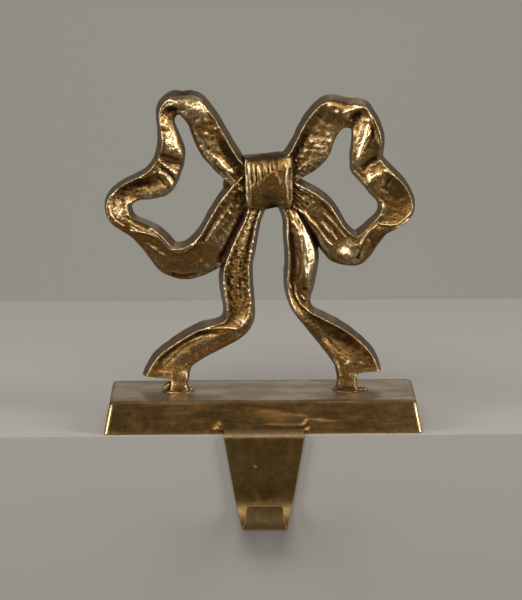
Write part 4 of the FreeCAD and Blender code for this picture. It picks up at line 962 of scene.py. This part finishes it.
def brass(name):
    material = bpy.data.materials.new(name)
    material.use_nodes = True
    n = Nodes(material.node_tree)
    patina = n.add("Group", node_tree=PATINA)
    surface = n.add("BsdfPrincipled", {"Metallic": 1.0, "Specular IOR Level": 0.5})
    out = n.add("OutputMaterial")
    n.put(out.inputs["Surface"], surface.outputs[0])
    return material, n, patina.outputs, surface


def dress(n, surface, base, rough, height, strength, depth):
    # The finish of one piece: its colour, its roughness and a skin so many millimetres deep.
    bump = n.add("Bump", {"Height": height, "Strength": strength, "Distance": depth * MM})
    for name, value in (("Base Color", base), ("Roughness", rough), ("Normal", bump.outputs[0])):
        n.put(surface.inputs[name], value)


DARK = colour(0.050, 0.026, 0.010)
MIDDLE = colour(0.275, 0.155, 0.050)
# Bright bared brass, also the colour of the painted highlights.
RUBBED_AND_HIGHLIGHT = colour(0.90, 0.665, 0.36)
WARM = colour(0.38, 0.165, 0.030)
# The cast sides' grey-brown: a plainer skin, partly a painted reflection of the grey wall.
SIDE_SKIN_AND_WALL_REFLECTION = colour(0.225, 0.165, 0.100)


def cast_brass():
    # Rubbed bright where it stands up and dark where it is sunk or pitted, with warm clouds, with
    # painted highlights and painted shade where the wear notes put them, and a plainer skin on the
    # cast sides and the back, its grey-brown partly a painted reflection of the grey wall.
    material, n, patina, surface = brass("cast_brass")
    near, broad, side = n.note("near_relief"), n.note("broad_relief"), n.note("side")
    wear_and_painted_light, coarse, edge = n.note("wear_and_painted_light"), n.note("coarse"), n.note("edge")
    mottle, speckle, pits = patina["Mottle"], patina["Speckle"], patina["Pits"]
    pitted = n.times(pits, n.plus(0.15, (coarse, 0.95)))
    # The wear notes add painted highlights to the rubbed share and painted shade to the dark and
    # caked shares.
    lively = n.plus(near, (mottle, 0.18), (speckle, 0.22), (wear_and_painted_light, 0.55), (pitted, -0.35),
                    (edge, 0.8), (broad, 0.25))
    place = n.add("SeparateXYZ", {"Vector": n.add("TexCoord").outputs["Object"]})
    above_braze = n.spread(place.outputs["Z"], 0.0150, 0.0185, 0.15, 1.0)
    rubbed_and_painted_highlight = n.times(n.spread(lively, 0.14, 0.78), above_braze)
    sunk_and_painted_shade = n.plus(near, (broad, 0.45), (speckle, 0.25), (mottle, 0.18), (wear_and_painted_light, 0.50),
                  (pitted, -0.45))
    dark = n.spread(sunk_and_painted_shade, 0.14, -0.50)
    warm = n.times(patina["Warm"], n.maths("SUBTRACT", 0.85, rubbed_and_painted_highlight, clamp=True))
    caked_and_painted_shade = n.maths("MULTIPLY_ADD", wear_and_painted_light, -0.7, n.times(mottle, 0.5), clamp=True)
    base = n.over(MIDDLE, (rubbed_and_painted_highlight, RUBBED_AND_HIGHLIGHT), (n.times(warm, 0.7), WARM),
                  (n.times(dark, 0.92), DARK),
                  (n.times(side, 0.85), n.blend(caked_and_painted_shade, SIDE_SKIN_AND_WALL_REFLECTION, DARK)))
    rough = n.plus(0.36, (rubbed_and_painted_highlight, -0.14), (dark, 0.25), (side, 0.12))
    height = n.times(n.plus(patina["Grain"], (speckle, 0.6), (pits, -0.7)),
                     n.plus(0.7, (coarse, 2.3)))
    dress(n, surface, base, rough, height, strength=0.6, depth=0.14)
    return material


bow.data.materials.clear()
bow.data.materials.append(cast_brass())
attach(bow, "root")
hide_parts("bow")

# The block. Cast brass, its sides leaning in from the foot, ground and brushed satin, with
# soft edges. The hook is brazed into its underside, and the run of braze over the hook on
# its front is ground nearly flush, with a bead left at each end.
HALF_LONG, HALF_DEEP = 69.88, 24.88
LEAN = math.tan(math.radians(11))
CORNER = 2.0
TO_MIDDLE = 24.2
TOP_EDGE = 1.2
FOOT_EDGE = 0.5
FRONT_FACE = -24.5
GROUND_MARKS = ((0, 0), 1.0, [
    (0.55, 4.6, [(240, 425), (262, 423), (285, 424), (298, 425)]),
    (-0.14, 0.8, [(236, 406), (255, 408.5), (275, 411), (306, 415), (330, 418)]),
    (-0.22, 0.6, [(308, 418), (330, 420), (345, 420)]),
    (0.25, 0.6, [(262, 425), (290, 426.5), (302, 426)]),
    (1.5, 1.2, [(216.5, 427.5), (218, 425.5)]),
    (0.8, 0.6, [(219.5, 423.5), (221.5, 427.5)]),
    (1.1, 0.8, [(213.0, 429.6), (218, 429.2), (222.5, 430.2)]),
    (0.9, 0.5, [(301.4, 426.8), (304, 425), (306, 422.5), (307.8, 420.3)]),
    (-0.5, 0.6, [(305, 427.5), (308, 425)]),
    (1.1, 0.9, [(304.5, 431.5), (308, 430.5), (310, 430)]),
    (0.25, 0.5, [(188, 417)]),
])


def rounded_outline(half_x, half_y, corner, long_steps=190, short_steps=60, turn_steps=8):
    # Points round a rectangle with round corners, with the same count for every size.
    corner = min(corner, half_y * 0.98)
    points = []
    for k, (sx, sy) in enumerate(((1, -1), (1, 1), (-1, 1), (-1, -1))):
        start = math.radians(-90 + 90 * k)
        cx, cy = sx * (half_x - corner), sy * (half_y - corner)
        for i in range(turn_steps):
            a = start + math.radians(90) * i / turn_steps
            points.append((cx + corner * math.cos(a), cy + corner * math.sin(a)))
        end = start + math.radians(90)
        here = (cx + corner * math.cos(end), cy + corner * math.sin(end))
        tx, ty = ((1, 1), (-1, 1), (-1, -1), (1, -1))[k]
        other = (tx * (half_x - corner) + corner * math.cos(end),
                 ty * (half_y - corner) + corner * math.sin(end))
        steps = short_steps if k % 2 == 0 else long_steps
        for i in range(steps):
            t = i / steps
            points.append((here[0] + (other[0] - here[0]) * t,
                           here[1] + (other[1] - here[1]) * t))
    return np.array(points)


def ground_block():
    rings = [(0.0, inset) for inset in (TO_MIDDLE, 20, 14, 9, 5, 2.5, 1.2, FOOT_EDGE)]
    for a in np.linspace(20, 90, 4):
        a = math.radians(a)
        rings.append((FOOT_EDGE * (1 - math.cos(a)), FOOT_EDGE * (1 - math.sin(a))))
    walls = np.linspace(FOOT_EDGE, BLOCK_TOP - TOP_EDGE, 21)[1:]
    rings += [(z, z * LEAN) for z in walls]
    top_inset = BLOCK_TOP * LEAN
    for a in np.linspace(12, 90, 7):
        a = math.radians(a)
        rings.append((BLOCK_TOP - TOP_EDGE * (1 - math.sin(a)),
                      top_inset - 0.18 * TOP_EDGE * math.cos(a) + TOP_EDGE * (1 - math.cos(a))))
    rings += [(BLOCK_TOP, inset) for inset in np.linspace(top_inset + 1.6, TO_MIDDLE, 22)]
    rows = []
    for z, inset in rings:
        outline = rounded_outline(HALF_LONG - inset, HALF_DEEP - inset, CORNER)
        rows.append(np.concatenate([outline, np.full((len(outline), 1), z)], 1))
    grid = np.array(rows)
    x, y, z = grid[..., 0], grid[..., 1], grid[..., 2]
    on_face = np.clip((-y - 21.5) / 1.5, 0, 1) * np.clip(z / 1.0, 0, 1)
    swell = relief(x, z, [GROUND_MARKS], FRONT_FACE) + 0.10 * ripple(x, z * 3.0, 9.0, 51.0)
    y = y - on_face * swell * np.clip((BLOCK_TOP - z) / 2.0, 0, 1)
    sink = np.clip((z - BLOCK_TOP + TOP_EDGE) / TOP_EDGE, 0, 1)
    z = z - sink * (0.06 + 0.10 * ripple(x, y, 11.0, 53.0) + 0.05 * ripple(x, y * 2, 3.0, 57.0))
    ends = np.clip((np.abs(x) - 64) / 2, 0, 1) * np.clip(z, 0, 1)
    x = x - np.sign(x) * ends * (0.06 + 0.06 * ripple(y, z, 7.0, 59.0))
    return closed_mesh("base_block", np.stack([x, y, np.minimum(z, BLOCK_TOP)], -1))


STRAP_LEFT, STRAP_RIGHT = -17.3, 17.9
STRAP_THICK = 1.9
SEAT_BACK = 7.0
block = ground_block()
join_solids(block, [plain_box("seat", (STRAP_LEFT, -40, -5), (STRAP_RIGHT, SEAT_BACK,
                                                             STRAP_THICK))], "DIFFERENCE")
smooth(block, crease=50)


def mark_wear_and_painted_light(part):
    # Notes where hands and polishing bared the edges, partly painted highlight, and the rim's
    # painted shade.
    x, y, z = points_of(part.data).T
    inset = z * LEAN
    past_x = np.clip((np.abs(x) - (HALF_LONG - inset - CORNER)) / CORNER, 0, 1)
    past_y = np.clip((np.abs(y) - (HALF_DEEP - inset - CORNER)) / CORNER, 0, 1)
    worn_and_painted_light = np.clip(5.0 * past_x * past_y, 0, 1) * np.clip(0.25 + (BLOCK_TOP - z) / 5, 0, 1)
    rim = np.clip((z - BLOCK_TOP + 1.3 * TOP_EDGE) / (0.5 * TOP_EDGE), 0, 1)
    worn_and_painted_light = worn_and_painted_light * (1 - 0.7 * rim)
    worn_and_painted_light = np.maximum(worn_and_painted_light, 0.6 * np.clip(1 - z / 0.9, 0, 1)) - 0.8 * rim * (past_y > 0.1)
    write_note(part.data, "worn_and_painted_light", worn_and_painted_light)


mark_wear_and_painted_light(block)

BLOCK_BROWN = colour(0.172, 0.095, 0.030)
BLOCK_GOLD = colour(0.355, 0.205, 0.072)
BLOCK_DARK = colour(0.070, 0.040, 0.015)
BLOCK_DUST_AND_REFLECTION = colour(0.42, 0.365, 0.28)
BLOCK_WARM = colour(0.33, 0.15, 0.035)
BLOCK_BARED_AND_HIGHLIGHT = colour(0.80, 0.565, 0.27)


def satin_brass():
    # Brushed along its length and clouded, dusty on what faces up with a painted reflection of the
    # grey wall, bared on its worn corners with painted highlights, and grimy with painted shade
    # along the top's rim.
    material, n, patina, surface = brass("block_brass")
    streak = n.spread(n.noise(1.6, 4.0, 0.65, stretch=(0.10, 0.6, 1)), 0.36, 0.66)
    cloud = n.spread(n.noise(12.0, 4.0, 0.6, stretch=(0.5, 1, 1)), 0.38, 0.64)
    fine = n.spread(n.noise(0.9, 3.0, 0.6, stretch=(0.35, 1, 1)), 0.35, 0.65)
    faces = n.add("SeparateXYZ", {"Vector": n.add("NewGeometry").outputs["Normal"]})
    # Upward faces get dust, partly a painted reflection of the grey wall.
    dust_and_wall_reflection = n.times(n.spread(faces.outputs["Z"], 0.55, 0.95), n.plus(0.38, (cloud, 0.50)))
    worn_and_painted_light = n.note("worn_and_painted_light")
    # Negative: the top's rim darkened, partly grime and partly painted shade. Positive: corners
    # and foot bared, partly wear and partly painted highlight.
    grime_and_painted_shade = n.times(worn_and_painted_light, -1.0, clamp=True)
    bared_and_painted_highlight = n.times(worn_and_painted_light, n.plus(1.0, (patina["Mottle"], -0.4)), clamp=True)
    base = n.over(BLOCK_BROWN, (cloud, BLOCK_GOLD), (n.times(streak, 0.80), BLOCK_DARK),
                  (n.times(fine, 0.18), BLOCK_GOLD), (n.times(patina["Warm"], 0.45), BLOCK_WARM),
                  (dust_and_wall_reflection, BLOCK_DUST_AND_REFLECTION), (bared_and_painted_highlight, BLOCK_BARED_AND_HIGHLIGHT), (n.times(grime_and_painted_shade, 0.75), BLOCK_DARK))
    rough = n.plus(0.33, (streak, 0.10), (bared_and_painted_highlight, -0.12), (grime_and_painted_shade, 0.30), (patina["Mottle"], 0.08))
    height = n.plus(patina["Grain"], (streak, 0.8))
    dress(n, surface, base, rough, height, strength=0.4, depth=0.06)
    return material


block.data.materials.clear()
block.data.materials.append(satin_brass())
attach(block, "root")
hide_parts("base_block")

# The stocking hook. One strip of 1.9 mm brass, let flush into the block's underside, bent
# down over the shelf's edge, cut to a taper and rolled forward into a shallow bowl whose
# lip stands up in front. Its cut edges are eased.
BEND_Y, FLAT_Y, BOWL_Y, LIP_Y = -26.75, -29.05, -39.55, -43.55
BEND_RADIUS, SWEEP_RADIUS, BOWL_RADIUS = 2.3, 10.5, 4.0
FLAT_TOP, FLAT_FOOT, LIP_ROOT, LIP_TIP = -1.35, -27.95, -34.45, -27.05
STRAP_MIDDLE = 0.3
EASED = 0.42
LIP_CORNER = 1.8


def strip_path():
    # Places (y, z) along the middle of the strip's thickness, with the way its front faces.
    rows = [(y, STRAP_THICK / 2, 0.0, 1.0) for y in np.linspace(SEAT_BACK, BEND_Y, 38)[:-1]]

    def arc(cy, cz, radius, start, end, steps, outward):
        for a in np.radians(np.linspace(start, end, steps)[:-1]):
            ny, nz = math.cos(a) * outward, math.sin(a) * outward
            rows.append((cy + radius * math.cos(a), cz + radius * math.sin(a), ny, nz))

    arc(BEND_Y, FLAT_TOP, BEND_RADIUS, 90, 180, 12, 1)
    rows += [(FLAT_Y, z, -1.0, 0.0) for z in np.linspace(FLAT_TOP, FLAT_FOOT, 42)[:-1]]
    arc(BOWL_Y, FLAT_FOOT, SWEEP_RADIUS, 360, 270, 28, -1)
    arc(BOWL_Y, LIP_ROOT, BOWL_RADIUS, 270, 180, 16, -1)
    tip = LIP_TIP - EASED
    rows += [(LIP_Y, z, 1.0, 0.0) for z in np.linspace(LIP_ROOT, tip - 1.6, 12)]
    rows += [(LIP_Y, z, 1.0, 0.0) for z in np.linspace(tip - 1.35, tip, 7)]
    rows += [(LIP_Y, tip + EASED * math.sin(a), 1.0, 0.0) for a in np.radians([30, 60, 85])]
    return rows


def strip_half_width(y, z):
    lowest = LIP_ROOT - BOWL_RADIUS - STRAP_THICK / 2
    if y >= BOWL_Y:
        half = np.interp(z, [lowest, LIP_ROOT - STRAP_THICK, FLAT_FOOT, 0.0],
                         [9.8, 10.75, 12.8, 17.6])
    else:
        half = np.interp(z, [lowest, LIP_ROOT, LIP_TIP + STRAP_THICK], [9.8, 8.6, 7.6])
        past = z - (LIP_TIP - LIP_CORNER)
        if past > 0:
            half -= LIP_CORNER - math.sqrt(max(LIP_CORNER ** 2 - min(past, LIP_CORNER) ** 2, 0))
    return float(half)


def bent_strip():
    rows = []
    tip = LIP_TIP - EASED
    for y, z, ny, nz in strip_path():
        half = strip_half_width(y, z)
        thin = 1.0
        if y == LIP_Y and z > tip:
            thin = math.sqrt(max(1 - ((z - tip) / EASED) ** 2, 0.02))
        half_thick = STRAP_THICK / 2 - EASED * (1 - thin)
        turn = np.radians(np.linspace(0, 90, 5))
        face = np.linspace(-half + EASED, half - EASED, 36)[1:-1]
        lift = half_thick - EASED * thin
        left_x = -half + EASED - EASED * np.cos(turn)
        left_n = lift + EASED * thin * np.sin(turn)
        across = np.concatenate([left_x, face, -left_x[::-1]])
        out = np.concatenate([left_n, np.full(len(face), half_thick), left_n[::-1]])
        upper = np.stack([STRAP_MIDDLE + across, y + ny * out, z + nz * out], -1)
        lower = np.stack([STRAP_MIDDLE + across[::-1], y - ny * out[::-1],
                          z - nz * out[::-1]], -1)
        rows.append(np.concatenate([upper, lower]))
    return closed_mesh("stocking_hook", np.array(rows))


hook = bent_strip()
smooth(hook, crease=60)

STRIP_BROWN = colour(0.23, 0.135, 0.040)
STRIP_GOLD = colour(0.29, 0.18, 0.062)
STRIP_DARK = colour(0.13, 0.08, 0.025)
STRIP_FOOT_TONE = colour(0.48, 0.315, 0.135)
STRIP_DUST_AND_REFLECTION = colour(0.215, 0.165, 0.108)
STRIP_BOWL_SHADE = colour(0.20, 0.125, 0.050)
NICK = (255.3, 466.6)


def strip_brass():
    # Clouded satin, lighter towards its foot, dusty where it enters the block's seat with a
    # painted reflection of the grey wall, painted shade in the bowl, one nick through the patina
    # left of the middle.
    material, n, patina, surface = brass("strip_brass")
    cloud = n.spread(n.noise(10.0, 4.0, 0.6, stretch=(1, 1, 0.5)), 0.38, 0.64)
    fine = n.spread(n.noise(0.7, 3.0, 0.6), 0.36, 0.66)
    where = n.add("TexCoord").outputs["Object"]
    height_on_it = n.add("SeparateXYZ", {"Vector": where}).outputs["Z"]
    faces = n.add("SeparateXYZ", {"Vector": n.add("NewGeometry").outputs["Normal"]})
    upward = faces.outputs["Z"]
    # Lighter towards the foot.
    lighter_to_foot = n.spread(height_on_it, -0.024, -0.034, 0.0, 0.55)
    # Upward faces by the seat get dust, partly a painted reflection of the grey wall.
    dust_and_wall_reflection = n.times(n.spread(upward, 0.15, 0.85, 0.0, 0.8), n.spread(height_on_it, -0.005, -0.003))
    # Painted shade on the bowl's upward inner faces.
    bowl_painted_shade = n.times(n.spread(upward, 0.10, 0.60, 0.0, 0.75), n.spread(height_on_it, -0.026, -0.030))
    face_y = FLAT_Y - STRAP_THICK / 2
    nick_x, nick_z = on_front(*NICK, face_y)
    nick = n.add("VectorMath", {0: where}, operation="DISTANCE")
    nick.inputs[1].default_value = (nick_x * MM, face_y * MM, nick_z * MM)
    nicked = n.spread(nick.outputs["Value"], 0.0009, 0.0004)
    base = n.over(STRIP_BROWN, (cloud, STRIP_GOLD), (n.times(fine, 0.30), STRIP_DARK),
                  (lighter_to_foot, STRIP_FOOT_TONE), (dust_and_wall_reflection, STRIP_DUST_AND_REFLECTION), (bowl_painted_shade, STRIP_BOWL_SHADE),
                  (nicked, BLOCK_BARED_AND_HIGHLIGHT))
    rough = n.plus(0.38, (patina["Mottle"], 0.10), (dust_and_wall_reflection, 0.30), (lighter_to_foot, 0.18))
    height = n.plus(patina["Grain"], (patina["Speckle"], 0.4))
    dress(n, surface, base, rough, height, strength=0.35, depth=0.06)
    return material


hook.data.materials.clear()
hook.data.materials.append(strip_brass())
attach(hook, "root")
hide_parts("stocking_hook")

# The plain pale shelf under the block, whose edge is just behind the strap, and a plain wall
# that stands far enough back for the part's own back to be seen.
SHELF_FRONT, SHELF_BACK = -27.9, 288.0


def plain_colour(name, written):
    material = bpy.data.materials.new(name)
    material.use_nodes = True
    n = Nodes(material.node_tree)
    surface = n.add("BsdfPrincipled", {"Base Color": written, "Roughness": 0.85,
                                       "Specular IOR Level": 0.2})
    out = n.add("OutputMaterial")
    n.put(out.inputs["Surface"], surface.outputs[0])
    return material


shelf = plain_box("shelf", (-1500, SHELF_FRONT, -700), (1500, SHELF_BACK, -0.05))
shelf.data.materials.append(plain_colour("shelf", colour(0.42, 0.395, 0.35)))
wall = plain_box("wall", (-3500, 2200, -1600), (3500, 2210, 3000))
wall.data.materials.append(plain_colour("wall", colour(0.46, 0.44, 0.385)))

# Soft light: a box at each side, a broad one overhead and in front, a weak one behind, and
# two along the wall.
MIDDLE_OF_PART = (0, 0, 0.07)


def softbox(name, place, aim, wide, tall, level):
    lamp = bpy.data.lights.new(name, "AREA")
    lamp.shape = "RECTANGLE"
    lamp.size, lamp.size_y = wide, tall
    lamp.energy = level * math.pi * wide * tall
    box = placed(name, lamp)
    box.location = place
    box.rotation_euler = (Vector(place) - Vector(aim)).to_track_quat("Z", "Y").to_euler()


softbox("left", (-1.0, -0.45, 0.45), MIDDLE_OF_PART, 0.30, 0.9, 8.2)
softbox("right", (1.0, -0.40, 0.45), MIDDLE_OF_PART, 0.30, 0.9, 9.4)
softbox("overhead", (-0.1, -0.78, 0.96), MIDDLE_OF_PART, 0.85, 0.42, 7.0)
softbox("behind", (0.3, 1.5, 1.3), MIDDLE_OF_PART, 0.8, 0.5, 2.5)
softbox("wall_light", (0.0, 1.2, 1.3), (0, 2.2, -0.2), 2.6, 0.6, 1.6)
softbox("low_wall_light", (0.0, 1.1, -1.1), (0, 2.2, -0.3), 2.6, 0.6, 1.6)
world = bpy.data.worlds.new("room")
bpy.context.scene.world = world
world.use_nodes = True
background = world.node_tree.nodes["Background"]
background.inputs["Color"].default_value = colour(0.145, 0.143, 0.135)
background.inputs["Strength"].default_value = 1.0

# The camera stands where the photograph's stood.
SENSOR = 36.0
lens = bpy.data.cameras.new("camera")
camera = placed("camera", lens)
stand, right, up, back = camera_stand()
turned = Matrix((right, up, back)).transposed()
camera.matrix_world = Matrix.Translation(stand * MM) @ turned.to_4x4()
lens.lens_unit = "MILLIMETERS"
lens.sensor_fit = "HORIZONTAL"
lens.sensor_width = SENSOR
lens.lens = REACH / PICTURE_WIDE * SENSOR
lens.clip_end = 20
bpy.context.scene.camera = camera
bpy.context.scene.view_settings.view_transform = "Standard"
